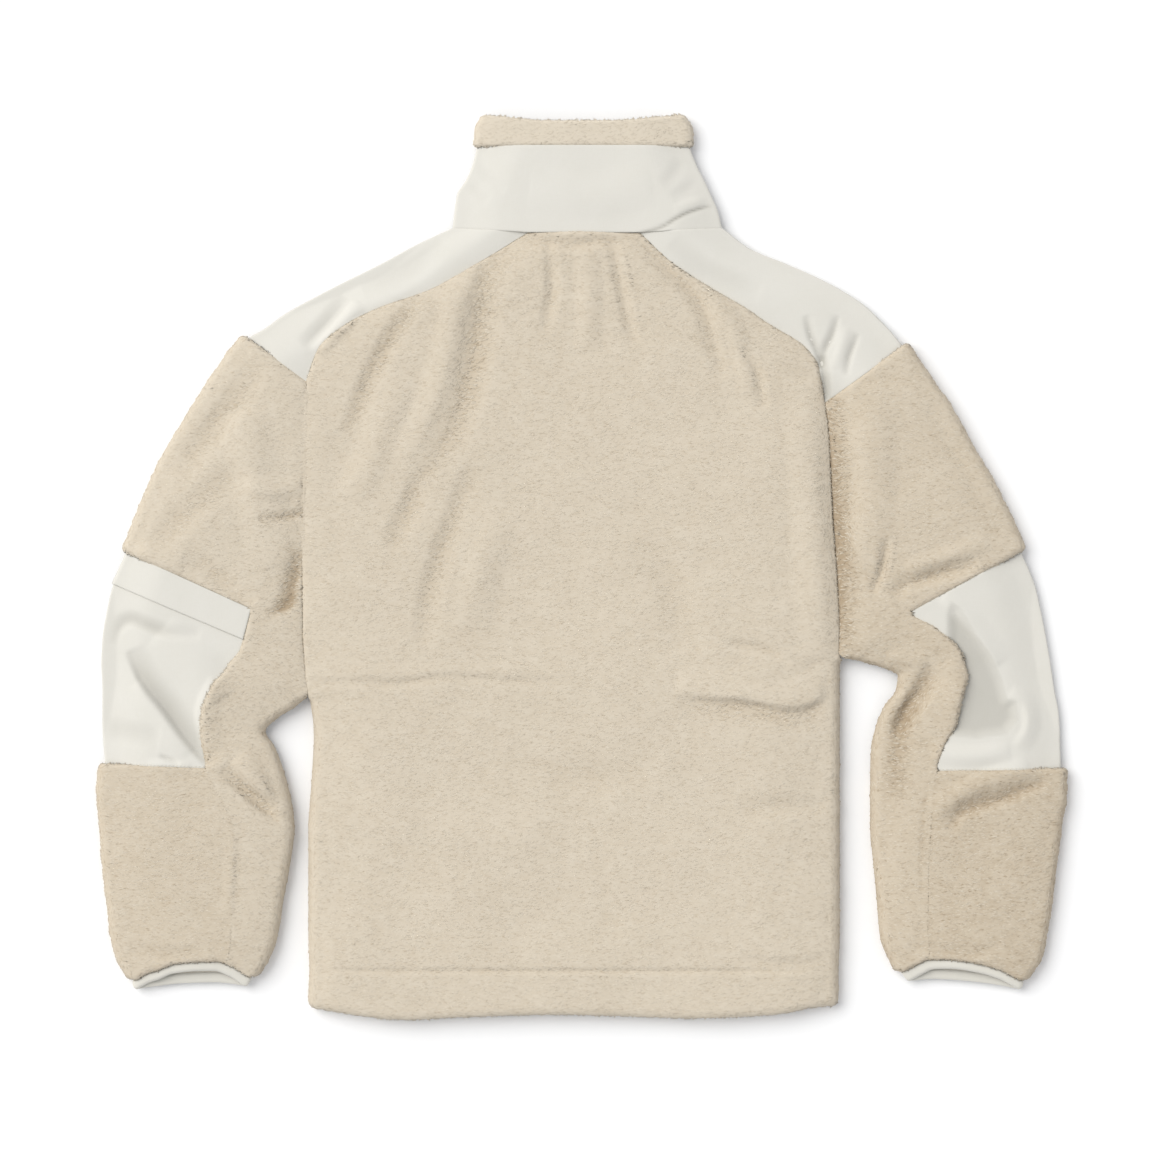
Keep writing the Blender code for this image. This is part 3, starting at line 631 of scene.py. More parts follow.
def hollow_shape(hollow, plan):
    """The same for a hollow."""
    start = np.array(hollow.line, float)
    run = np.roll(start, -1, axis=0) - start
    distance = np.linalg.norm(nearest_on(start, run, plan)[1], axis=-1).min(axis=1)
    above = start[:, 1] > plan[:, None, 1]
    slope = np.where(run[:, 1] == 0, 1, run[:, 1])
    crosses = plan[:, None, 0] < start[:, 0] + (plan[:, None, 1] - start[:, 1]) * run[:, 0] / slope
    inside = ((above != np.roll(above, -1, axis=1)) & crosses).sum(axis=1) % 2 == 1
    strength = np.where(inside, smooth(distance / hollow.slope), 0)
    shade = np.where(inside, smooth(distance / HOLLOW_EDGE), 0)
    return -hollow.depth * strength, np.zeros_like(plan), hollow.shade * shade


def relief(plan, creases):
    """Height, sideways shift and painted shade of the back layer at places in plan."""
    flat = plan.reshape(-1, 2)
    height, shift, shade = np.zeros(len(flat)), np.zeros((len(flat), 2)), np.zeros(len(flat))
    for crease in creases:
        is_hollow = isinstance(crease, Hollow)
        line = np.array(crease.line, float)
        reach = 0 if is_hollow else max(crease.left, crease.right) + 2 * LINE_STEP
        near = ((flat > line.min(axis=0) - reach) & (flat < line.max(axis=0) + reach)).all(axis=1)
        if near.any():
            rise, move, dark = (hollow_shape if is_hollow else crease_shape)(crease, flat[near])
            height[near] += rise
            shift[near] += move
            shade[near] += dark
    # Painted shade, darker where a trough lies deeper
    shade += DEPTH_SHADE * np.maximum(-height, 0)
    return height.reshape(plan.shape[:-1]), shift.reshape(plan.shape), shade.reshape(plan.shape[:-1])


def undulation(plan, strength):
    """The soft unevenness of cloth that was smoothed out by hand."""
    places = np.concatenate([plan, np.zeros_like(plan[..., :1])], axis=-1)
    return strength * sum(rise * field(places, size, seed) for rise, size, seed in UNEVENNESS)


# Surfaces

Columns = namedtuple("Columns", "side station")


def columns(*runs):
    """Columns for runs of (side, first station, last station, shares between them or their count)."""
    sides, stations = [], []
    for index, (side, first, last, shares) in enumerate(runs):
        shares = even(shares) if isinstance(shares, int) else shares
        shares = shares[1 if index else 0 :]
        first, last = (np.atleast_1d(np.asarray(end, float))[:, None] for end in (first, last))
        stations.append(first + (last - first) * shares)
        sides += [side] * len(shares)
    rows = max(len(part) for part in stations)
    stations = [np.broadcast_to(part, (rows, part.shape[1])) for part in stations]
    return Columns(np.array(sides), np.concatenate(stations, axis=1))


def lay_side(sections, side, station, creases, waviness):
    """Points on one layer's backing at each station, the directions that stand off it, and painted
    shades.
    Stations from 0 to 1 lie across the layer, and those beyond go round its edges."""
    share = np.clip(station, 0, 1)
    past = station - share
    plan = sections.in_plan(side, share)
    up = 1 if side == BACK else -1
    z = np.full(share.shape, FRONT_LEVEL)
    shade = np.zeros(share.shape)
    if side == BACK:
        fade, shoulder, rise = 1.0, 1.0, sections.rise
        for fold, part in zip(sections.fold, (share, 1 - share)):
            distance = part * sections.width[:, None]
            fade = fade * (1 - fold[:, None] * (1 - smooth(distance / FOLD_FADE)))
            shoulder = shoulder * (1 - (1 - np.minimum(distance / SHOULDER, 1)) ** 2)
            rise = rise * (1 - fold[:, None] * (1 - smooth(distance / RISE_REACH)))
        height, shift, shade = relief(plan, creases)
        shade = shade * np.sqrt(fade)
        z = BACK_LEVEL + CROWN * shoulder + rise + fade * (height + undulation(plan, waviness))
        plan = plan + shift * fade[..., None]
    first = past < 0
    outward = np.where(
        first[..., None], -sections.direction(BACK)[:, None], sections.direction(side)[:, None]
    )
    arc = QUARTER * abs(past)
    angle = np.where(first, *(fold[:, None] for fold in sections.fold)) * abs(past) * np.pi / 2
    plan = plan + outward * (arc * np.sinc(angle / np.pi))[..., None]
    z = z - up * arc * np.sin(angle / 2) * np.sinc(angle / 2 / np.pi)
    z = z - sections.sag[:, None] * np.cos(share * np.pi / 2) ** 2
    points = np.concatenate([plan, z[..., None]], axis=-1)
    stand = np.concatenate([outward * np.sin(angle)[..., None], up * np.cos(angle)[..., None]], axis=-1)
    return points, stand, shade


def lay(sections, cols, creases, waviness):
    """lay_side for columns of both layers."""
    station = np.broadcast_to(cols.station, (len(sections.a), cols.station.shape[1]))
    points, stand = np.zeros((2, *station.shape, 3))
    shade = np.zeros(station.shape)
    for side in (BACK, FRONT):
        mine = cols.side == side
        if mine.any():
            part = lay_side(sections, side, station[:, mine], creases, waviness)
            points[:, mine], stand[:, mine], shade[:, mine] = part
    return points, stand, shade


def run_lengths(grid, axis):
    """Distance of each grid point from the first and from the last line along an axis."""
    steps = np.linalg.norm(np.diff(grid, axis=axis), axis=-1)
    along = np.insert(np.cumsum(steps, axis=axis), 0, 0, axis=axis)
    return along, np.take(along, [-1], axis=axis) - along


def tangents(grid, axis):
    """Directions of the grid's lines: the mean of those to the points before and after."""
    steps = unit(np.diff(grid, axis=axis))
    first, last = (np.take(steps, [end], axis=axis) for end in (0, -1))
    return np.concatenate([first, steps], axis=axis) + np.concatenate([steps, last], axis=axis)


def normals_of(grid, stand):
    normal = unit(np.cross(tangents(grid, 0), tangents(grid, 1)))
    return np.where(((normal * stand).sum(-1) < 0)[..., None], -normal, normal)


# Meshes


def place(points):
    """Points in the model's frame, in metres."""
    return points * MM + OFFSET


def show(name, data):
    item = bpy.data.objects.new(name, data)
    bpy.context.scene.collection.objects.link(item)
    return item


def add_object(name, vertices, faces, materials):
    mesh = bpy.data.meshes.new(name)
    mesh.from_pydata(place(vertices).tolist(), [], faces)
    for material in materials:
        mesh.materials.append(material)
    mesh.shade_smooth()
    return show(name, mesh)


def store(item, name, kind, values):
    """Stores a number (FLOAT) or direction (FLOAT_VECTOR) at each point, for the materials."""
    attribute = item.data.attributes.new(name, kind, "POINT")
    field_name = "value" if kind == "FLOAT" else "vector"
    attribute.data.foreach_set(field_name, np.ravel(values).astype(np.float32))


# A cell's corners in order, as row and column, and the cells beyond the sides that start there
CORNERS = ((0, 0), (0, 1), (1, 1), (1, 0))
BESIDE = ((-1, 0), (0, 1), (1, 0), (0, -1))


def wall_faces(rows, cols, left_out):
    """Faces of a closed wall: a fine outer grid, a coarse inner one and the rim between them."""
    coarse_cols = (cols - 1) // COARSE + 1
    cells = {(r, c) for r in range((rows - 1) // COARSE) for c in range((cols - 1) // COARSE)}
    cells -= set(left_out)

    def fine(r, c):
        return r * cols + c

    def inner(r, c):
        return rows * cols + r * coarse_cols + c

    outer_faces, inner_faces, rim = [], [], []
    for r, c in sorted(cells):
        for i in range(r * COARSE, (r + 1) * COARSE):
            for j in range(c * COARSE, (c + 1) * COARSE):
                outer_faces.append((fine(i, j), fine(i + 1, j), fine(i + 1, j + 1), fine(i, j + 1)))
        corners = [(r + down, c + right) for down, right in CORNERS]
        inner_faces.append([inner(*corner) for corner in corners])
        for start, end, (down, right) in zip(corners, corners[1:] + corners[:1], BESIDE):
            if (r + down, c + right) not in cells:
                row, col = COARSE * start[0], COARSE * start[1]
                step = end[0] - start[0], end[1] - start[1]
                line = [fine(row + k * step[0], col + k * step[1]) for k in range(COARSE + 1)]
                rim.append((*line, inner(*end), inner(*start)))
    return outer_faces + rim, inner_faces


def closed_wall(name, outer, inner, materials, flipped=False, left_out=()):
    """A wall from all of an outer grid to every COARSE-th point of an inner one."""
    outside, inside = wall_faces(*outer.shape[:2], left_out)
    faces = [face[::-1] for face in outside + inside] if flipped else outside + inside
    vertices = [grid.reshape(-1, 3) for grid in (outer, inner[::COARSE, ::COARSE])]
    item = add_object(name, np.concatenate(vertices), faces, materials)
    if len(materials) > 1:
        item.data.polygons.foreach_set("material_index", [0] * len(outside) + [1] * len(inside))
    return item


# The outer side of a piece: its grid of points, their normals and painted shades, the shares of the
# cloth's depth along its four borders, and the size of its backing
Surface = namedtuple("Surface", "outer normal shade borders backing_size")


# How cloth rounds down at a seam: over what distance, and to what share of its depth
Seam = namedtuple("Seam", "roll share")
FUSED = 1.0  # share where pile meets pile and hides the seam
HIDDEN_SEAM = Seam(4.0, FUSED)
HEM = Seam(7.0, 0.4)
OWN_SEAMS = (None,) * 4
DEEP_SEAM = 0.88  # share below which a border has a fringe
SEAM_PRESS = 0.45  # how far a piece's borders are pushed against its neighbours
SHARP = math.radians(65)  # edges sharper than this aren't smoothed
CURL_SIZE = (10.0, 6.5, 7.0)
DRIFT_SIZE = 19  # of the wider unevenness under the curls
DRIFT_HEIGHT = 0.8  # in heights of the curls
GROUND_TONE = (0.3, 0.15, 0.05)  # tone between the nubs, and how much curls and drift change it, painted lighter where they rise and darker where they sink
CURL_FADE = 3.0  # over this distance from a seam curls get lower, to LEAST_CURL
LEAST_CURL = 0.3
INNER_TONE = 0.4  # on the hidden side of fleece


def rounded_down(distance, seam):
    share = np.reshape(seam.share, (-1, 1)) if np.ndim(seam.share) else seam.share
    return share + (1 - share) * np.sqrt(1 - (1 - np.clip(distance / seam.roll, 0, 1)) ** 2)


def between(cloth, fused):
    """Seam of a fleece piece that is fused where the rows' share is 1, and deep where it is 0."""
    return Seam(cloth.roll, cloth.seam + (FUSED - cloth.seam) * fused)


def grid_borders(grid, inset=3):
    """The four borders of a grid, each with the line that many cells inside it."""
    return (
        (grid[0], grid[inset]), (grid[-1], grid[-1 - inset]),
        (grid[:, 0], grid[:, inset]), (grid[:, -1], grid[:, -1 - inset]),
    )


def close_seams(outer):
    """Pushes a piece's borders against its neighbours', so that no slit is left between them."""
    for border, inner in grid_borders(outer):
        border += SEAM_PRESS * unit(border - inner)


def cut_size(name, backing):
    """Width, length and area of the cloth that a piece is cut from."""
    widths, lengths = run_lengths(backing, 1)[0][:, -1], run_lengths(backing, 0)[0][-1]
    # The body's outer columns follow its slanted shoulders, so it is measured straight up
    length = np.ptp(backing[..., 1]) if name.endswith("body") else lengths.max()
    return float(widths.max()), float(length), float(widths.mean() * lengths.mean())


def curl_ground(name, cloth, outer, normal, shade, profile, edge):
    """Tone of the pile between its nubs, and how far its curls push it out. The tone carries painted
    light on its curls and at seams, painted shade between its curls, in creases and on its tilted sides,
    and painted shade and light on some panels.
    """
    curls = field(outer, CURL_SIZE, 1)
    drift = field(outer, DRIFT_SIZE, 2)
    mean, by_curls, by_drift = GROUND_TONE
    tone = np.clip(mean + by_curls * curls + by_drift * drift, 0, 1) - PILE_SHADE * shade
    tone += PANEL_PAINTED_SHADING.get(name, 0) + SEAM_PAINTED_LIGHT * (1 - profile) - TILT_PAINTED_SHADE * (1 - abs(normal[..., 2]))
    sides = 1 + SIDE_CURLS * (1 - np.clip(normal[..., 2], 0, 1))
    height = cloth.pile * (curls + DRIFT_HEIGHT * drift) * np.clip(edge / CURL_FADE, LEAST_CURL, 1)
    return tone, height * sides


def thickened(form, stand, over, cloth, lift, seams):
    """A wall's backing, its outer and inner side, its shares of the cloth's depth, and how far each
    point is from the nearest border. over says which columns lie in the upper layer."""
    backing = form.copy()
    backing[:, over, 2] = np.maximum(form[:, over, 2], LEAST_LEVEL)
    outer = form + (lift + cloth.depth) * stand
    distances = (*run_lengths(outer, 0), *run_lengths(outer, 1))
    seams = [seam or Seam(cloth.roll, cloth.seam) for seam in seams]
    profile = np.minimum.reduce([rounded_down(*pair) for pair in zip(distances, seams)])
    outer = form + (lift + cloth.depth * profile)[..., None] * stand
    inner = backing + lift * stand
    least = inner + (cloth.depth * np.minimum(profile, LEAST_DEPTH))[..., None] * stand
    pressed = over & (outer[..., 2] < least[..., 2])
    outer[pressed] = least[pressed]
    close_seams(outer)
    return backing, outer, inner, profile, np.minimum.reduce(distances)


def add_wall(
    name, sections, cols, cloth, creases, materials, lift=0.0, left_out=(), waviness=1.0, seams=OWN_SEAMS
):
    """A cut piece: a closed wall that stands on its backing. seams says how it rounds down at its
    first and last row and at its first and last column, where that isn't the cloth's own way."""
    form, stand, shade = lay(sections, cols, creases, waviness)
    over = cols.side == BACK
    backing, outer, inner, profile, edge = thickened(form, stand, over, cloth, lift, seams)
    normal = normals_of(outer, stand)
    # Painted shade of woven cloth, as a tone below 1
    tone = 1 - shade
    if cloth.pile:
        tone, height = curl_ground(name, cloth, outer, normal, shade, profile, edge)
        outer = outer + height[..., None] * normal
    outer[..., 2] = np.maximum(outer[..., 2], 0)
    r, c = outer.shape[0] // 2, outer.shape[1] // 2
    steps = np.cross(outer[r + 1, c] - outer[r, c], outer[r, c + 1] - outer[r, c])
    item = closed_wall(f"{name}_cloth", outer, inner, materials, steps @ stand[r, c] < 0, left_out)
    below = -stand[::COARSE, ::COARSE]
    inner_tone = np.full(below[..., 0].size, INNER_TONE if cloth.pile else 1.0)
    store(item, "tone", "FLOAT", np.concatenate([tone.ravel(), inner_tone]))
    if cloth.pile:
        store(item, "ground", "FLOAT_VECTOR", np.concatenate([normal.ravel(), below.ravel()]))
        item.data.set_sharp_from_angle(angle=SHARP)
    borders = [border for border, _ in grid_borders(profile)]
    return item, Surface(outer, normals_of(outer, stand), shade, borders, cut_size(name, backing))


# Curls and stitches


def add_spindles(name, centre, along, up, size, rings, material):
    """Many small bent spindles in one mesh: three sided with a ridge on top, pointed at both ends.
    size is their length, half width, height of the ridge, bow sideways and lift of the middle, and
    rings says where the sections between the ends lie, in half lengths."""
    side = np.cross(up, along)
    count = len(centre)
    length, half_width, ridge, bow, lift = (np.broadcast_to(part, count)[:, None] for part in size)

    def on_axis(u):
        bend = 1 - u * u
        return centre + along * (u * length / 2) + side * (bow * bend) + up * (lift * bend)

    points = [on_axis(-1)]
    for u in rings:
        points.append(on_axis(u) + up * ridge)
        points += [on_axis(u) + side * across - up * ridge for across in (-half_width, half_width)]
    points.append(on_axis(1))
    last = len(points) - 1
    template = []
    for a, b in ((1, 2), (2, 3), (3, 1)):
        template.append((0, b, a))
        for low in range(0, last - 4, 3):
            template += [(low + a, low + b, low + b + 3), (low + a, low + b + 3, low + a + 3)]
        template.append((last - 4 + a, last - 4 + b, last))
    faces = (np.array(template) + (last + 1) * np.arange(count)[:, None, None]).reshape(-1, 3)
    return add_object(name, np.stack(points, axis=1).reshape(-1, 3), faces.tolist(), [material])


GOLDEN = np.array([0.7548776662, 0.5698402910])  # steps of an even, unordered spread of points
SPREAD_JITTER = 0.12  # of the mean distance between points

NUBS_PER_MM2 = 0.135
NUBS_IN_PIECE = 32000
NUB_LENGTH = (5.5, 10.5)
NUB_HALF_WIDTH = (1.0, 1.5)
NUB_RIDGE = (0.55, 0.95)
NUB_ARCH = 0.4
NUB_BOW = 0.1  # of its length
NUB_SUNK = 0.2  # how far a nub's axis lies under the surface, in heights of its ridge
NUB_LEAST_Z = 1.6  # so that nubs don't reach through the floor
LEAST_UPWARD = -0.3  # nubs stand where the normal's z is more than this
# How strongly a nub's end, ridge and feet take the light of the cloth under them
NUB_GROUND = np.array([3.0, 1.0, 2.0, 2.0, 3.0])
# Where the cloth is tilted by this much, 1 - cos, nubs lie level, so that they don't bridge its bend
TILTED = 0.15
TILT_SHORTER = 0.3
SWIRL = 0.3  # how far, in radians, the pile's lie turns from place to place
SWIRL_SIZE = 30  # millimetres over which the lie changes
NUB_TURN = 0.15  # and from nub to nub
NUB_LOW = (-0.5, 0.25)  # tone of their feet, between the nubs, where painted shade keeps it low
NUB_TOP_PAINTED_LIGHT = (0.5, 1.0)  # painted light: how much lighter their ridges are than their feet
NUB_END = 0.8  # tone of their ends, from that between them to that of the ridges
HOLLOW_LIFT = 0.25  # how much higher nubs stand where the cloth has painted shade
FULL_SHADE = 0.2  # shade at which they are lifted by all of it
PILE_SHADE = 1.5  # how strongly painted shade lowers the tone of pile
RIDGE_SHADE = 0.8  # and of its ridges, as a share of that
FRINGE_PITCH = 1.7
FRINGE_LENGTH = (3.6, 6.0)
FRINGE_REACH = 0.4  # how far the middle of a fringe nub lies inside the border
FRINGE_JITTER = 0.8  # and by how much more or less
FRINGE_LEAN = 0.6  # how unevenly it points outward
FRINGE_SUNK = 0.2
FRINGE_UPWARD = 0.25  # it stands where the normal's z is more than this
FRINGE_PAINTED_LIGHT = 0.2  # painted light: how much lighter it is than pile elsewhere
FRINGE_FEET_PAINTED_SHADE = 0.4  # painted shade: how much darker its feet are than its ridges


def spread(surface, draw):
    """Even but unordered places on the upward part of a surface: points, normals and painted shades."""
    grid, normal = surface.outer, surface.normal
    lengths = np.linalg.norm(np.diff(grid, axis=0), axis=-1)
    widths = np.linalg.norm(np.diff(grid, axis=1), axis=-1)
    scales = [np.insert(np.cumsum(steps), 0, 0) for steps in (lengths.mean(axis=1), widths.mean(axis=0))]
    local = (lengths[:, :-1] + lengths[:, 1:]) * (widths[:-1] + widths[1:]) / 4
    crowding = local / (np.diff(scales[0])[:, None] * np.diff(scales[1]))
    count = int(scales[0][-1] * scales[1][-1] * NUBS_PER_MM2 * crowding.max())
    jitter = draw.normal(0, SPREAD_JITTER, (count, 2)) / math.sqrt(count)
    shares = ((0.5 + np.arange(count)[:, None] * GOLDEN + jitter) % 1).T
    r, c = (np.interp(share * at[-1], at, np.arange(len(at))) for share, at in zip(shares, scales))
    i = np.minimum(r.astype(int), len(grid) - 2)
    j = np.minimum(c.astype(int), grid.shape[1] - 2)
    keep = draw.random(count) * crowding.max() < crowding[i, j]
    keep &= normal[i, j, 2] > LEAST_UPWARD
    i, j, u, v = i[keep], j[keep], (r - i)[keep][:, None], (c - j)[keep][:, None]

    def mixed(values):
        top = values[i, j] * (1 - v) + values[i, j + 1] * v
        return top * (1 - u) + (values[i + 1, j] * (1 - v) + values[i + 1, j + 1] * v) * u

    return mixed(grid), unit(mixed(normal)), mixed(surface.shade[..., None])[:, 0]


def border_places(surface):
    """Points along the upper part of a piece's deep seams, with the way out and normals."""
    parts = []
    borders = zip(grid_borders(surface.outer), grid_borders(surface.normal), surface.borders)
    for (line, inner), (_, up), depth in borders:
        along = distances_along(line)
        at = np.arange(FRINGE_PITCH / 2, along[-1], FRINGE_PITCH)
        values = np.concatenate([line, unit(line - inner), up, depth[:, None]], axis=1)
        made = at_places(at, along, values)
        parts.append(made[(made[:, 8] > FRINGE_UPWARD) & (made[:, 9] < DEEP_SEAM)])
    return np.split(np.concatenate(parts)[:, :9], 3, axis=1)


def upright(along, up):
    """Directions made to lie in the surface, at right angles to up."""
    return unit(along - (along * up).sum(1)[:, None] * up)


def lying_nubs(surface, draw):
    """Places, directions, normals, lengths and painted shades of nubs that lie in a surface, mostly
    across.
    """
    centre, up, shade = spread(surface, draw)
    turn = draw.normal(0, NUB_TURN, len(centre))
    swirl = SWIRL * field(centre, SWIRL_SIZE, 11) + turn
    flat = np.zeros(len(centre))
    along = np.stack([np.cos(swirl), np.sin(swirl), flat], axis=1)
    level = unit(np.stack([-up[:, 1], up[:, 0], flat], axis=1))
    level *= np.where((level * along).sum(1) < 0, -1, 1)[:, None]
    level += np.cross(up, level) * (2 * turn)[:, None]
    tilt = smooth((1 - up[:, 2]) / TILTED)
    along = upright(along + (level - along) * tilt[:, None], up)
    length = draw.uniform(*NUB_LENGTH, len(centre)) * (1 - TILT_SHORTER * tilt)
    return centre, along, up, length, shade


def fringe_nubs(surface, draw):
    """The same of nubs that hang over its seams."""
    edge, outward, up = border_places(surface)
    lean = draw.normal(0, FRINGE_LEAN, (len(edge), 1))
    reach = FRINGE_REACH + draw.uniform(-FRINGE_JITTER, FRINGE_JITTER, (len(edge), 1))
    along = upright(outward + np.cross(up, outward) * lean, up)
    length = draw.uniform(*FRINGE_LENGTH, len(edge))
    shade = np.full(len(edge), -FRINGE_PAINTED_LIGHT / PILE_SHADE)
    return edge - outward * reach - up * FRINGE_SUNK, along, up, length, shade


def add_pile(piece, surface, material, seed, painted_panel_shade):
    """The nubs of a fleece piece's pile, as meshes of at most about NUBS_IN_PIECE of them."""
    draw = np.random.default_rng(seed)
    lying = lying_nubs(surface, draw)
    fringe = fringe_nubs(surface, draw)
    centre, along, up, length, shade = (np.concatenate(pair) for pair in zip(lying, fringe))
    count, first_fringe = len(centre), len(lying[0])
    half_width = draw.uniform(*NUB_HALF_WIDTH, count)
    ridge = draw.uniform(*NUB_RIDGE, count)
    bow = draw.normal(0, NUB_BOW, count) * length
    sunk = NUB_ARCH + ridge * NUB_SUNK - HOLLOW_LIFT * smooth(shade / FULL_SHADE)
    centre = centre - up * sunk[:, None]
    centre[:, 2] = np.maximum(centre[:, 2], NUB_LEAST_Z)
    # Painted shade and light: feet darker than ridges, darker still in creases, on tilted sides and on
    # some panels
    low = draw.uniform(*NUB_LOW, count) - PILE_SHADE * shade
    low += painted_panel_shade - TILT_PAINTED_SHADE * (1 - abs(up[:, 2]))
    high = low + draw.uniform(*NUB_TOP_PAINTED_LIGHT, count) + (1 - RIDGE_SHADE) * PILE_SHADE * np.maximum(shade, 0)
    low[first_fringe:] = high[first_fringe:] - FRINGE_FEET_PAINTED_SHADE
    end = low + NUB_END * (high - low)
    tone = np.stack([end, high, low, low, end], axis=1)
    ground = up[:, None] * NUB_GROUND[:, None]
    piles = []
    for order in np.array_split(np.argsort(centre[:, 1]), 1 + count // NUBS_IN_PIECE):
        name = f"{piece.name}_pile_{len(piles) + 1}"
        size = (length[order], half_width[order], ridge[order], bow[order], NUB_ARCH)
        pile = add_spindles(name, centre[order], along[order], up[order], size, (0.0,), material)
        store(pile, "tone", "FLOAT", tone[order])
        store(pile, "ground", "FLOAT_VECTOR", ground[order])
        piles.append(pile)
    return piles


STITCH_PITCH = 3.4
STITCH_INSET = 2.0  # from the piece's border
STITCH_UPWARD = 0.3
STITCH_SIZE = (2.5, 0.28, 0.28, 0.0, 0.12)  # as add_spindles takes it
AHEAD = 0.5  # distance over which a stitch's direction is taken


def add_stitches(name, surface, material):
    """A row of stitches along a piece's last row, on its upper side."""
    grid, normal = surface.outer, surface.normal
    away = distances_along(grid[::-1, grid.shape[1] // 2])
    row = -1 - int(np.argmin(abs(away - STITCH_INSET)))
    upper = normal[row, :, 2] > STITCH_UPWARD
    along = distances_along(grid[row, upper])
    at = np.arange(STITCH_PITCH, along[-1] - STITCH_PITCH / 2, STITCH_PITCH)
    centre, ahead = (at_places(at + step, along, grid[row, upper]) for step in (0, AHEAD))
    up = at_places(at, along, normal[row, upper])
    return add_spindles(name, centre, unit(ahead - centre), up, STITCH_SIZE, (-0.5, 0.5), material)


# Materials

# Noises: scale, detail, roughness and stretch
FLECKS = (420, 3, 0.6, (0.5, 1.2, 1.0))
FIBRES = (1100, 3, 0.65, (0.6, 1.2, 1.0))
CLOUDS = (26,)
KNIT_RIBS = (700, 2, 0.5, (1.8, 0.5, 1.0))
WEFT = (520, 2, 0.6, (0.28, 2.4, 1.0))
WARP = (520, 2, 0.6, (2.4, 0.28, 1.0))
MOTTLE = (38, 3, 0.55)
CRINKLE = (130, 3)
TWIST = (1500,)
SPECKLE = (900,)
BRUSHED = (900, 3, 0.6, (0.3, 3.0, 1.0))
FLOOR_GRAIN = (3,)
# Bumps: strength, and distance in metres
FLECK_BUMP = (0.2, 0.001)
FIBRE_BUMP = (0.15, 0.0004)
CRINKLE_BUMP = (0.12, 0.0012)
THREAD_BUMP = (0.25, 0.0002)
RIB_BUMP = (0.4, 0.0004)
TWIST_BUMP = (0.3, 0.0002)
# How much the stored tone and each noise count in the colour of a cloth
PILE_TONE = 0.5
PILE_FLECKS = 0.3
PILE_CLOUDS = 0.06
PILE_BASE = 0.095
WOVEN_THREADS = 0.3
WOVEN_MOTTLE = 0.45
WOVEN_ROUGHNESS = 0.12  # how much the mottle changes the roughness


class Nodes:
    """A node tree, with a short way to add each kind of node that is used here."""

    def __init__(self, tree):
        self.tree = tree

    def set(self, node, inputs):
        """Sets inputs of a node, each to a value or to the socket that it comes from."""
        for key, value in inputs.items():
            if isinstance(value, bpy.types.NodeSocket):
                self.tree.links.new(value, node.inputs[key])
            else:
                node.inputs[key].default_value = value

    def add(self, kind, inputs=None, **settings):
        node = self.tree.nodes.new(f"ShaderNode{kind}")
        for name, value in settings.items():
            setattr(node, name, value)
        self.set(node, inputs or {})
        return node

    def attribute(self, name, output):
        return self.add("Attribute", attribute_name=name).outputs[output]

    def noise(self, coords, scale, detail=2.0, roughness=0.5, stretch=None):
        if stretch:
            coords = self.add("Mapping", {"Vector": coords, "Scale": stretch}).outputs[0]
        inputs = {"Vector": coords, "Scale": scale, "Detail": detail, "Roughness": roughness}
        return self.add("TexNoise", inputs).outputs["Fac"]

    def math(self, operation, *values):
        return self.add("Math", dict(enumerate(values)), operation=operation).outputs[0]

    def vector(self, operation, inputs):
        return self.add("VectorMath", inputs, operation=operation).outputs[0]

    def ramp(self, factor, *stops):
        ramp = self.add("ValToRGB", {"Fac": factor})
        elements = ramp.color_ramp.elements
        while len(elements) < len(stops):
            elements.new(0.5)
        for element, (position, colour) in zip(elements, stops):
            element.position = position
            element.color = (*colour, 1)
        return ramp.outputs["Color"]

    def bump(self, height, strength, distance, under=None):
        inputs = {"Height": height, "Strength": strength, "Distance": distance}
        return self.add("Bump", inputs | ({"Normal": under} if under else {})).outputs["Normal"]


def new_material(name, sockets):
    material = bpy.data.materials.new(name)
    material.use_nodes = True
    nodes = Nodes(material.node_tree)
    shader = nodes.tree.nodes["Principled BSDF"]
    nodes.set(shader, sockets)
    return material, nodes, shader, nodes.add("TexCoord").outputs["Object"]


def scaled(colour, factor):
    return tuple(min(1.0, factor * value) for value in colour)


def grained_material(name, sockets, grain, low, high, bump=None, rough=None):
    """Two colours mixed by a noise, grain. It may also raise the surface and change its roughness."""
    material, nodes, shader, coords = new_material(name, sockets)
    noise_value = nodes.noise(coords, *grain)
    nodes.set(shader, {"Base Color": nodes.ramp(noise_value, low, high)})
    if bump:
        nodes.set(shader, {"Normal": nodes.bump(noise_value, *bump)})
    if rough:
        nodes.set(shader, {"Roughness": nodes.math("MULTIPLY_ADD", noise_value, *rough)})
    return material


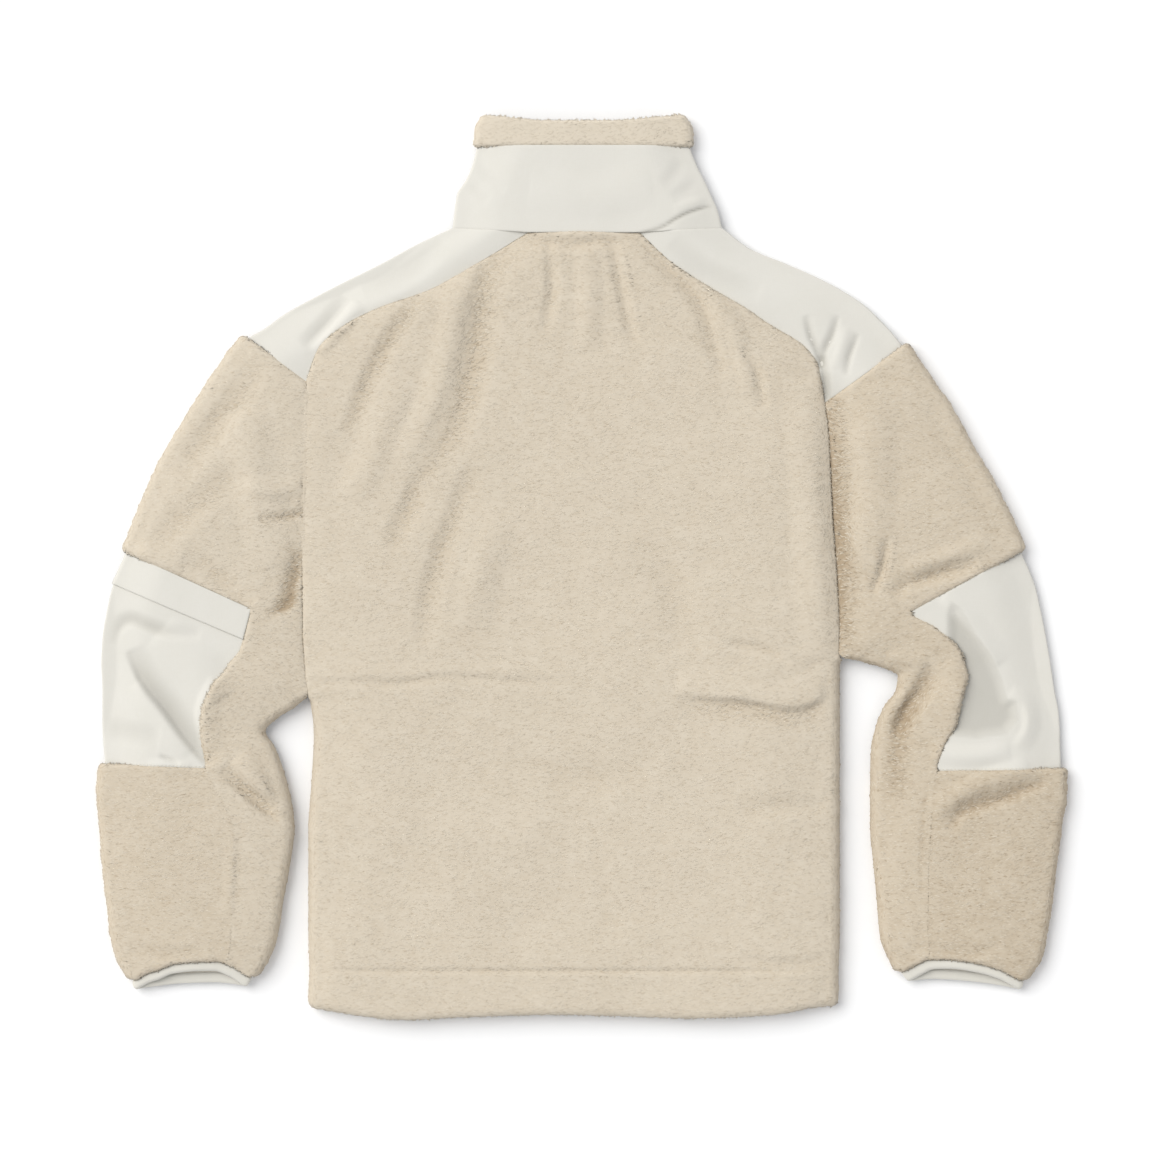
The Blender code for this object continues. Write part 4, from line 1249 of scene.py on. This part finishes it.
def fleece_material():
    """Pile: its light is partly that of the cloth under it, as light goes through the fibres."""
    sockets = {
        "Roughness": 0.95, "Sheen Weight": 0.2, "Sheen Roughness": 0.5, "Specular IOR Level": 0.12,
        "Sheen Tint": (1.0, 0.97, 0.92, 1),
    }
    material, nodes, shader, coords = new_material("sherpa_pile", sockets)
    flecks, fibres, clouds = (nodes.noise(coords, *each) for each in (FLECKS, FIBRES, CLOUDS))
    some_flecks = nodes.math("MULTIPLY", flecks, PILE_FLECKS)
    # The stored tone brings painted shade and light into the pile's colour
    mixed = nodes.math("MULTIPLY_ADD", nodes.attribute("tone", "Fac"), PILE_TONE, some_flecks)
    mixed = nodes.math("MULTIPLY_ADD", clouds, PILE_CLOUDS, nodes.math("ADD", mixed, PILE_BASE))
    stops = (0.0, FLEECE_DEEP), (0.22, FLEECE_DARK), (0.5, FLEECE_MID), (0.85, FLEECE_LIGHT)
    own = nodes.add("NewGeometry").outputs["Normal"]
    own = nodes.vector("SCALE", {0: own, "Scale": 1 - GROUND_SHARE})
    ground = nodes.vector("SCALE", {0: nodes.attribute("ground", "Vector"), "Scale": GROUND_SHARE})
    normal = nodes.vector("NORMALIZE", {0: nodes.vector("ADD", {0: own, 1: ground})})
    normal = nodes.bump(flecks, *FLECK_BUMP, normal)
    normal = nodes.bump(fibres, *FIBRE_BUMP, normal)
    nodes.set(shader, {"Base Color": nodes.ramp(mixed, *stops), "Normal": normal})
    return material


def woven_material(name, colour, shade, roughness, grain=1.0):
    """Plain woven cloth: short irregular threads both ways, faint slubs and a soft mottle, and painted
    shade where its stored tone is low.
    """
    sockets = {"Sheen Weight": 0.12, "Sheen Roughness": 0.4, "Specular IOR Level": 0.25}
    material, nodes, shader, coords = new_material(name, sockets)
    weft, warp = (nodes.noise(coords, each[0] * grain, *each[1:]) for each in (WEFT, WARP))
    threads = nodes.math("ADD", weft, warp)
    mottle = nodes.noise(coords, *MOTTLE)
    some_mottle = nodes.math("MULTIPLY", mottle, WOVEN_MOTTLE)
    factor = nodes.math("MULTIPLY_ADD", threads, WOVEN_THREADS, some_mottle)
    plain = nodes.ramp(factor, (0.3, shade), (0.68, colour))
    # Painted shade: a low stored tone tints the cloth darker in creases and hollows
    tint = nodes.ramp(nodes.attribute("tone", "Fac"), (0.4, PAINTED_SHADE_TINT), (1.0, (1, 1, 1)))
    mixed = nodes.add("Mix", data_type="RGBA", blend_type="MULTIPLY")
    nodes.set(mixed, {"Factor": 1.0, 6: plain, 7: tint})
    normal = nodes.bump(nodes.noise(coords, *CRINKLE), *CRINKLE_BUMP)
    nodes.set(shader, {
        "Base Color": mixed.outputs[2],
        "Roughness": nodes.math("MULTIPLY_ADD", mottle, WOVEN_ROUGHNESS, roughness - WOVEN_ROUGHNESS / 2),
        "Normal": nodes.bump(threads, *THREAD_BUMP, normal),
    })
    return material


def knit_back_material():
    sockets = {"Roughness": 0.9, "Sheen Weight": 0.1, "Specular IOR Level": 0.2}
    low, high = (0.3, scaled(KNIT_BACK, 0.86)), (0.7, KNIT_BACK)
    return grained_material("fleece_back", sockets, KNIT_RIBS, low, high, bump=RIB_BUMP)


def thread_material():
    sockets = {"Roughness": 0.7, "Sheen Weight": 0.1}
    low, high = (0.3, THREAD_COLOUR), (0.7, scaled(THREAD_COLOUR, 1.12))
    return grained_material("thread", sockets, TWIST, low, high, bump=TWIST_BUMP)


def coil_material():
    low, high = (0.3, COIL_COLOUR), (0.7, scaled(COIL_COLOUR, 1.15))
    return grained_material("zip_coil_nylon", {"Roughness": 0.45}, SPECKLE, low, high)


def metal_material():
    low, high = (0.3, scaled(METAL_COLOUR, 0.85)), (0.7, METAL_COLOUR)
    return grained_material("zip_metal", {"Metallic": 1.0}, BRUSHED, low, high, rough=(0.2, 0.25))


# Pieces


BACK_STEP = (1.95, 2.75)  # spacing of the back's rows and columns
BODY_WIDTH = 480
COLLAR_STEP = 1.7
CUFF_STEP = 2.0
POCKET_STEP = 1.9
CUFF_WRAP = 1.9  # the station at which a cuff's two ends stop, just short of each other
HEM_STITCH_END = 260
HEM_STITCH_SHARP = 0.3
WOVEN_RISE = 4.5
COLLAR_RISE = 3.5
YOKE_SAG = 4.0  # how far thin cloth sinks at a sleeve's outer edge, between pieces of fleece
ELBOW_SAG = 4.5
WOVEN_WAVINESS = 0.7
CUFF_WAVINESS = 0.4


def spaced(first, last, step, start=True, end=True):
    """Places from first to last, about a step apart and closer together at the ends named."""
    return first + graded(abs(last - first), step, start, end) * (last - first)


def declare(piece, node, with_pieces=()):
    """Hides the model's part that a piece stands for, and attaches the piece and those with it to the
    garment.
    """
    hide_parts(node)
    for item in (piece, *with_pieces):
        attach(item, "garment")


class Maker:
    """Makes the garment's pieces with shared materials."""

    def __init__(self):
        self.fleece = [fleece_material(), knit_back_material()]
        self.shell = [woven_material("woven_shell", SHELL_COLOUR, SHELL_SHADE, 0.72)]
        self.binding = [woven_material("binding_tape", BINDING_COLOUR, SHELL_SHADE, 0.65, 1.4)]
        self.thread = thread_material()
        self.seed = 0

    def fleece_piece(self, name, sections, cols, creases, rests_on, cloth=SHERPA, **options):
        self.seed += 10
        piece, surface = add_wall(name, sections, cols, cloth, creases, self.fleece, **options)
        piles = []
        if name != "front_body":
            piles = add_pile(piece, surface, self.fleece[0], self.seed, PANEL_PAINTED_SHADING.get(name, 0))
        declare(piece, name, piles)

    def woven_piece(self, name, sections, cols, creases, rests_on, cloth=WOVEN, lift=0.0, stitched=False):
        piece, surface = add_wall(
            name, sections, cols, cloth, creases, self.shell, lift, waviness=WOVEN_WAVINESS
        )
        rows = [add_stitches(f"{name}_stitches", surface, self.thread)] if stitched else []
        declare(piece, name, rows)


def make_back(maker):
    y = spaced(BODY_ROWS[0, 0], BODY_ROWS[-1, 0], BACK_STEP[0])
    sections = body_sections(y)
    across = graded(BODY_WIDTH, BACK_STEP[1], fill=2 * EDGE_CELLS)
    cols = columns((BACK, -1, 0, EDGE_CELLS), (BACK, 0, 1, across), (BACK, 1, 2, EDGE_CELLS))
    line = [(side * HEM_STITCH_END, HEM_STITCH_Y) for side in (-1, 1)]
    hem = Crease(line, -HEM_STITCH_DEPTH, HEM_STITCH_REACH, HEM_STITCH_REACH, HEM_STITCH_SHARP)
    left = np.maximum(sections.fold[0], armhole_hidden(y, LEFT))
    right = np.maximum(sections.fold[1], np.interp(y, *zip(*OVERHANG)) * (y < ARMHOLE_TOP[RIGHT]))
    seams = (None, HEM, between(SHERPA, left), between(SHERPA, right))
    creases = [*ARMHOLE_CREASES, *BODY_CREASES, hem]
    maker.fleece_piece("back_body", sections, cols, creases, ["front_body"], seams=seams)


def zip_slot(sections):
    """The stations between which the front layer has its slit for the zip."""
    a, b = sections.a[:, 0], sections.b[FRONT][:, 0]
    return [(ZIP_X + side * ZIP_SLOT - a) / (b - a) for side in (-1, 1)]


def make_front(maker):
    above = spaced(FRONT_NECK_Y, ZIP_END, HIDDEN_STEP, end=False)
    below = spaced(ZIP_END, BODY_ROWS[-1, 0], HIDDEN_STEP, start=False)
    y = np.concatenate([above, below[1:]])
    sections = body_sections(y)
    first, last = zip_slot(sections)
    half = graded(BODY_WIDTH / 2 - ZIP_SLOT, HIDDEN_STEP, fill=EDGE_CELLS)
    cols = columns(
        (FRONT, -1, 0, EDGE_CELLS), (FRONT, 0, first, half), (FRONT, first, last, COARSE),
        (FRONT, last, 1, half), (FRONT, 1, 2, EDGE_CELLS),
    )
    slot_column = (EDGE_CELLS + len(half) - 1) // COARSE
    slot_cells = [(row, slot_column) for row in range((len(above) - 1) // COARSE)]
    sides = zip(sections.fold, (LEFT, RIGHT))
    hidden = [np.maximum(fold, armhole_hidden(y, column)) for fold, column in sides]
    seams = (None, HEM, *(between(SHERPA, share) for share in hidden))
    maker.fleece_piece("front_body", sections, cols, [], ["floor"], left_out=slot_cells, seams=seams)


def wrap_columns(sections, step):
    """Round a sleeve from its back seam, over the outer edge and across the hidden front."""
    start = np.where(sections.whole, 2.0, sections.seam)
    rim = np.where(sections.whole, 1.0, start - QUARTER / sections.width)
    width = float((sections.width * rim).mean())
    count = max(2, round(float(sections.width.mean()) / HIDDEN_STEP))
    others = EDGE_CELLS + 3 * SLEEVE_EDGE_CELLS + count
    back = graded(width, step, start=False, end=False, fill=others)
    return columns(
        (BACK, start, rim, EDGE_CELLS), (BACK, rim, 0, back), (BACK, 0, -1, SLEEVE_EDGE_CELLS),
        (FRONT, -1, 0, SLEEVE_EDGE_CELLS), (FRONT, 0, 1, count), (FRONT, 1, 2, SLEEVE_EDGE_CELLS),
    )


NEAR = 0.01
ELBOW_FADE = 6  # distance over which the under sleeve's inner seam opens beside the elbow panel
ELBOW_OPEN = 0.9


def make_under_sleeve(maker, side, sleeve, at):
    knots = sleeve.knots
    rows = spaced(knots[at.under], knots[at.cuff], SHERPA.step)
    sections = sleeve.sections(rows)
    width = float((sections.width * (1 - sections.seam)).mean())
    across = graded(width, SHERPA.step, end=False, fill=EDGE_CELLS)
    cols = columns((BACK, sections.seam, 1, across), (BACK, 1, 2, EDGE_CELLS))
    past_cap, before_forearm = rows - knots[at.elbow], knots[at.forearm] - rows
    beside_elbow = smooth(past_cap / ELBOW_FADE) * smooth(before_forearm / ELBOW_FADE)
    inner_seam = between(SHERPA, 1 - ELBOW_OPEN * beside_elbow)
    seams = (HIDDEN_SEAM, None, inner_seam, between(SHERPA, sections.hidden_seam))
    name = f"under_sleeve_{side}"
    maker.fleece_piece(name, sections, cols, SLEEVE_CREASES, [f"forearm_{side}"], seams=seams)


def make_sleeve(maker, side, rows, cuff, at, column):
    sleeve = Sleeve(rows, column)
    knots = sleeve.knots
    pieces = (
        ("yoke", 0, at.cap, WOVEN, YOKE_SAG),
        ("sleeve_cap", at.cap, at.elbow, SHERPA, 0.0),
        ("elbow_panel", at.elbow, at.forearm, WOVEN, ELBOW_SAG),
        ("forearm", at.forearm, at.cuff, SHERPA, 0.0),
    )
    for part, first, last, cloth, sag in pieces:
        places = spaced(knots[first], knots[last], cloth.step)
        sections = sleeve.sections(places, sag)
        sections.whole = places < knots[at.under] + NEAR
        cols = wrap_columns(sections, cloth.step)
        name = f"{part}_{side}"
        if cloth == WOVEN:
            sections.rise = WOVEN_RISE
            creases = [*SLEEVE_CREASES, ELBOW_HOLLOW]
            maker.woven_piece(name, sections, cols, creases, ["floor"], stitched=part == "elbow_panel")
        else:
            in_pile = np.where(sections.whole, sections.hidden_seam, 1.0)
            seams = (None, None, between(cloth, in_pile), HIDDEN_SEAM)
            maker.fleece_piece(name, sections, cols, SLEEVE_CREASES, ["floor"], seams=seams)
    make_under_sleeve(maker, side, sleeve, at)
    make_cuff(maker, side, Sleeve([rows[-1], cuff], column))
    return sleeve


def make_cuff(maker, side, edge):
    sections = edge.sections(spaced(0, edge.knots[-1], BINDING.step, start=False, end=False))
    across = graded(float(sections.width.mean()), CUFF_STEP, start=False, end=False)
    cols = columns(
        (BACK, CUFF_WRAP, 1, EDGE_CELLS), (BACK, 1, 0, across), (BACK, 0, -1, EDGE_CELLS),
        (FRONT, -1, 0, EDGE_CELLS), (FRONT, 0, 1, across), (FRONT, 1, CUFF_WRAP, EDGE_CELLS),
    )
    name = f"cuff_binding_{side}"
    piece, surface = add_wall(
        name, sections, cols, BINDING, SLEEVE_CREASES, maker.binding, waviness=CUFF_WAVINESS
    )
    declare(piece, name)


def make_pocket_band(maker, sleeve):
    band = Sleeve(POCKET_ROWS, LEFT)
    length = band.knots[-1]
    at = spaced(0, length, POCKET_CLOTH.step)
    sections = band.sections(at)
    sections.rise = WOVEN_RISE
    rows = (LEFT_AT.elbow, LEFT_AT.elbow + 1, LEFT_AT.forearm)
    first, second, last = (sleeve.knots[row] for row in rows)
    sections.sag = ELBOW_SAG * np.sin(np.pi * at / length * (second - first) / (last - first))
    width = float((sections.width * sections.seam).mean())
    across = graded(width, POCKET_STEP, end=False, fill=EDGE_CELLS)
    cols = columns((BACK, sections.seam, 0, across), (BACK, 0, -1, EDGE_CELLS))
    maker.woven_piece(
        "pocket_band", sections, cols, SLEEVE_CREASES, ["elbow_panel_left"], POCKET_CLOTH,
        WOVEN.depth + SEAM_GAP,
    )


COLLAR_FRONT = 110  # about how wide each half of the collar's front is, and its back
COLLAR_BACK = 210


def collar_columns(sections, step):
    first, last = zip_slot(sections)
    back = graded(COLLAR_BACK, step, start=False, end=False, fill=4 * EDGE_CELLS)
    return columns(
        (FRONT, first, 0, graded(COLLAR_FRONT, HIDDEN_STEP, end=False)),
        (FRONT, 0, -1, EDGE_CELLS), (BACK, -1, 0, EDGE_CELLS), (BACK, 0, 1, back),
        (BACK, 1, 2, EDGE_CELLS), (FRONT, 2, 1, EDGE_CELLS),
        (FRONT, 1, last, graded(COLLAR_FRONT, HIDDEN_STEP, start=False)),
    )


def make_collar(maker):
    sections = collar_sections(spaced(COLLAR_ROWS[0, 0], BAND_Y, COLLAR_STEP))
    sections.rise = COLLAR_RISE
    cols = collar_columns(sections, COLLAR_STEP)
    maker.woven_piece("collar", sections, cols, COLLAR_CREASES, ["front_body"])
    sections = collar_sections(spaced(BAND_Y, COLLAR_ROWS[-1, 0], BAND.step))
    cols = collar_columns(sections, BAND.step)
    maker.fleece_piece("collar_band", sections, cols, [], ["collar"], BAND)


TOOTH_PITCH = 1.7
TOOTH_RADIUS = 0.55
TOOTH_SIZE = (3.4, TOOTH_RADIUS, TOOTH_RADIUS, 0.0, 0.1)  # as add_spindles takes it
TOOTH_RINGS = (-0.6, 0.6)
TOOTH_SLANT = 0.18
TOOTH_OFFSET = 0.9  # of each row of teeth from the zip's middle
COIL_END = 1.0  # how far the first and last tooth are from the tape's ends
TAPE_HALF = 3.6
TAPE_CELLS = (12, 120)
TAPE_LEVELS = (0.75, 1.3)  # of its outer and inner side, above the coil's lower one
RIB_HEIGHT = 0.12
RIB_TURN = 3.2  # radians for each millimetre across


def make_coil(low, high):
    """The closed coil's turns, in two rows that reach between each other."""
    y = np.arange(low[1] + COIL_END, high[1] - COIL_END, TOOTH_PITCH)
    centres, alongs = [], []
    for side in (-1, 1):
        x = np.full(len(y), ZIP_X + side * TOOTH_OFFSET)
        z = np.full(len(y), low[2] + TOOTH_RADIUS)
        centres.append(np.stack([x, y + (side + 1) * TOOTH_PITCH / 4, z], axis=1))
        alongs.append(np.tile([1.0, TOOTH_SLANT * side, 0.0], (len(y), 1)))
    centre, along = np.concatenate(centres), unit(np.concatenate(alongs))
    up = np.tile([0.0, 0.0, -1.0], (len(centre), 1))
    return add_spindles("zip_coil_turns", centre, along, up, TOOTH_SIZE, TOOTH_RINGS, coil_material())


def make_tape(low, high):
    """Both halves of the tape in one, ribbed on its lower side, which shows."""
    x = ZIP_X + np.linspace(-TAPE_HALF, TAPE_HALF, TAPE_CELLS[0] + 1)
    y = np.linspace(low[1], high[1], TAPE_CELLS[1] + 1)
    grid = np.stack(np.meshgrid(x, y), axis=-1)
    rib = RIB_HEIGHT * np.sin((grid[..., :1] - ZIP_X) * RIB_TURN)
    heights = low[2] + TAPE_LEVELS[0] + rib, np.full_like(rib, low[2] + TAPE_LEVELS[1])
    sides = [np.concatenate([grid, z], axis=-1) for z in heights]
    cloth = woven_material("zip_tape", COIL_COLOUR, SHELL_SHADE, 0.8, 1.5)
    return closed_wall("zip_tape", *sides, [cloth])


def make_zip():
    """The tape with the closed coil on it, and the metal of the slider and its pull."""
    low, high = ((np.array(corner) - OFFSET) / MM for corner in (coil_low, coil_high))
    coil, tape = make_coil(low, high), make_tape(low, high)
    for piece in (coil, tape):
        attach(piece, "garment")
    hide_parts("zip_coil")
    metal = metal_material()
    for name in ("zip_slider", "zip_pull"):
        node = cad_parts[name]
        node.data.materials.clear()
        node.data.materials.append(metal)


# Stage

PIXEL = 0.9  # mm for each pixel of the photo
PHOTO_WIDTH = 1160
PHOTO_ZERO = (574, 1018)  # where the garment's origin lies in it
VIEW_CENTRE = (PIXEL * (PHOTO_WIDTH / 2 - PHOTO_ZERO[0]), PIXEL * (PHOTO_ZERO[1] - PHOTO_WIDTH / 2))
VIEW_WIDTH = PIXEL * PHOTO_WIDTH
MIDDLE_LEVEL = 12.0
LENS = 150.0
SENSOR = 36.0
FAR = 100  # metres
FLOOR_HALF = 60.0
FLOOR_LEVEL = -0.0002
FLOOR_COLOURS = ((0.2, (0.93, 0.93, 0.935)), (0.8, (0.95, 0.95, 0.955)))
KEY_AZIMUTH = 304.0  # compass bearing that the key light comes from; the collar is north
KEY_ELEVATION = 47.0
KEY_ANGLE = 50.0
KEY_STRENGTH = 2.2
KEY_COLOUR = (1.0, 0.985, 0.955)
SKY = ((0.06, (0.98, 0.985, 1.0)), (0.35, (0.62, 0.63, 0.645)))  # against the direction's height


def make_camera():
    data = bpy.data.cameras.new("camera")
    data.lens = LENS
    data.sensor_width = SENSOR
    data.clip_end = FAR
    camera = show("camera", data)
    distance = VIEW_WIDTH * LENS / SENSOR + MIDDLE_LEVEL
    camera.location = place(np.array([*VIEW_CENTRE, distance]))
    bpy.context.scene.camera = camera


def make_floor():
    sockets = {"Roughness": 0.9, "Specular IOR Level": 0.1}
    mesh = bpy.data.meshes.new("floor")
    corners = [(x * FLOOR_HALF, y * FLOOR_HALF, 0) for x, y in ((-1, -1), (1, -1), (1, 1), (-1, 1))]
    mesh.from_pydata(corners, [], [(0, 1, 2, 3)])
    mesh.materials.append(grained_material("pale_floor", sockets, FLOOR_GRAIN, *FLOOR_COLOURS))
    floor = show("floor", mesh)
    floor.location.z = FLOOR_LEVEL


def make_light():
    sun = bpy.data.lights.new("key", "SUN")
    sun.energy = KEY_STRENGTH
    sun.angle = math.radians(KEY_ANGLE)
    sun.color = KEY_COLOUR
    bearing, height = math.radians(KEY_AZIMUTH), math.radians(KEY_ELEVATION)
    level = math.cos(height)
    towards = Vector((math.sin(bearing) * level, math.cos(bearing) * level, math.sin(height)))
    show("key", sun).rotation_euler = towards.to_track_quat("Z", "Y").to_euler()

    world = bpy.data.worlds.new("studio")
    world.use_nodes = True
    bpy.context.scene.world = world
    nodes = Nodes(world.node_tree)
    direction = nodes.add("TexCoord").outputs["Generated"]
    height = nodes.add("SeparateXYZ", {"Vector": direction}).outputs["Z"]
    nodes.set(nodes.tree.nodes["Background"], {"Color": nodes.ramp(height, *SKY), "Strength": 1.0})
    bpy.context.scene.view_settings.view_transform = "Standard"


def main():
    maker = Maker()
    make_back(maker)
    make_front(maker)
    left = make_sleeve(maker, "left", LEFT_SLEEVE, LEFT_CUFF, LEFT_AT, LEFT)
    make_sleeve(maker, "right", RIGHT_SLEEVE, RIGHT_CUFF, RIGHT_AT, RIGHT)
    make_pocket_band(maker, left)
    make_collar(maker)
    make_zip()
    make_floor()
    make_light()
    make_camera()


main()
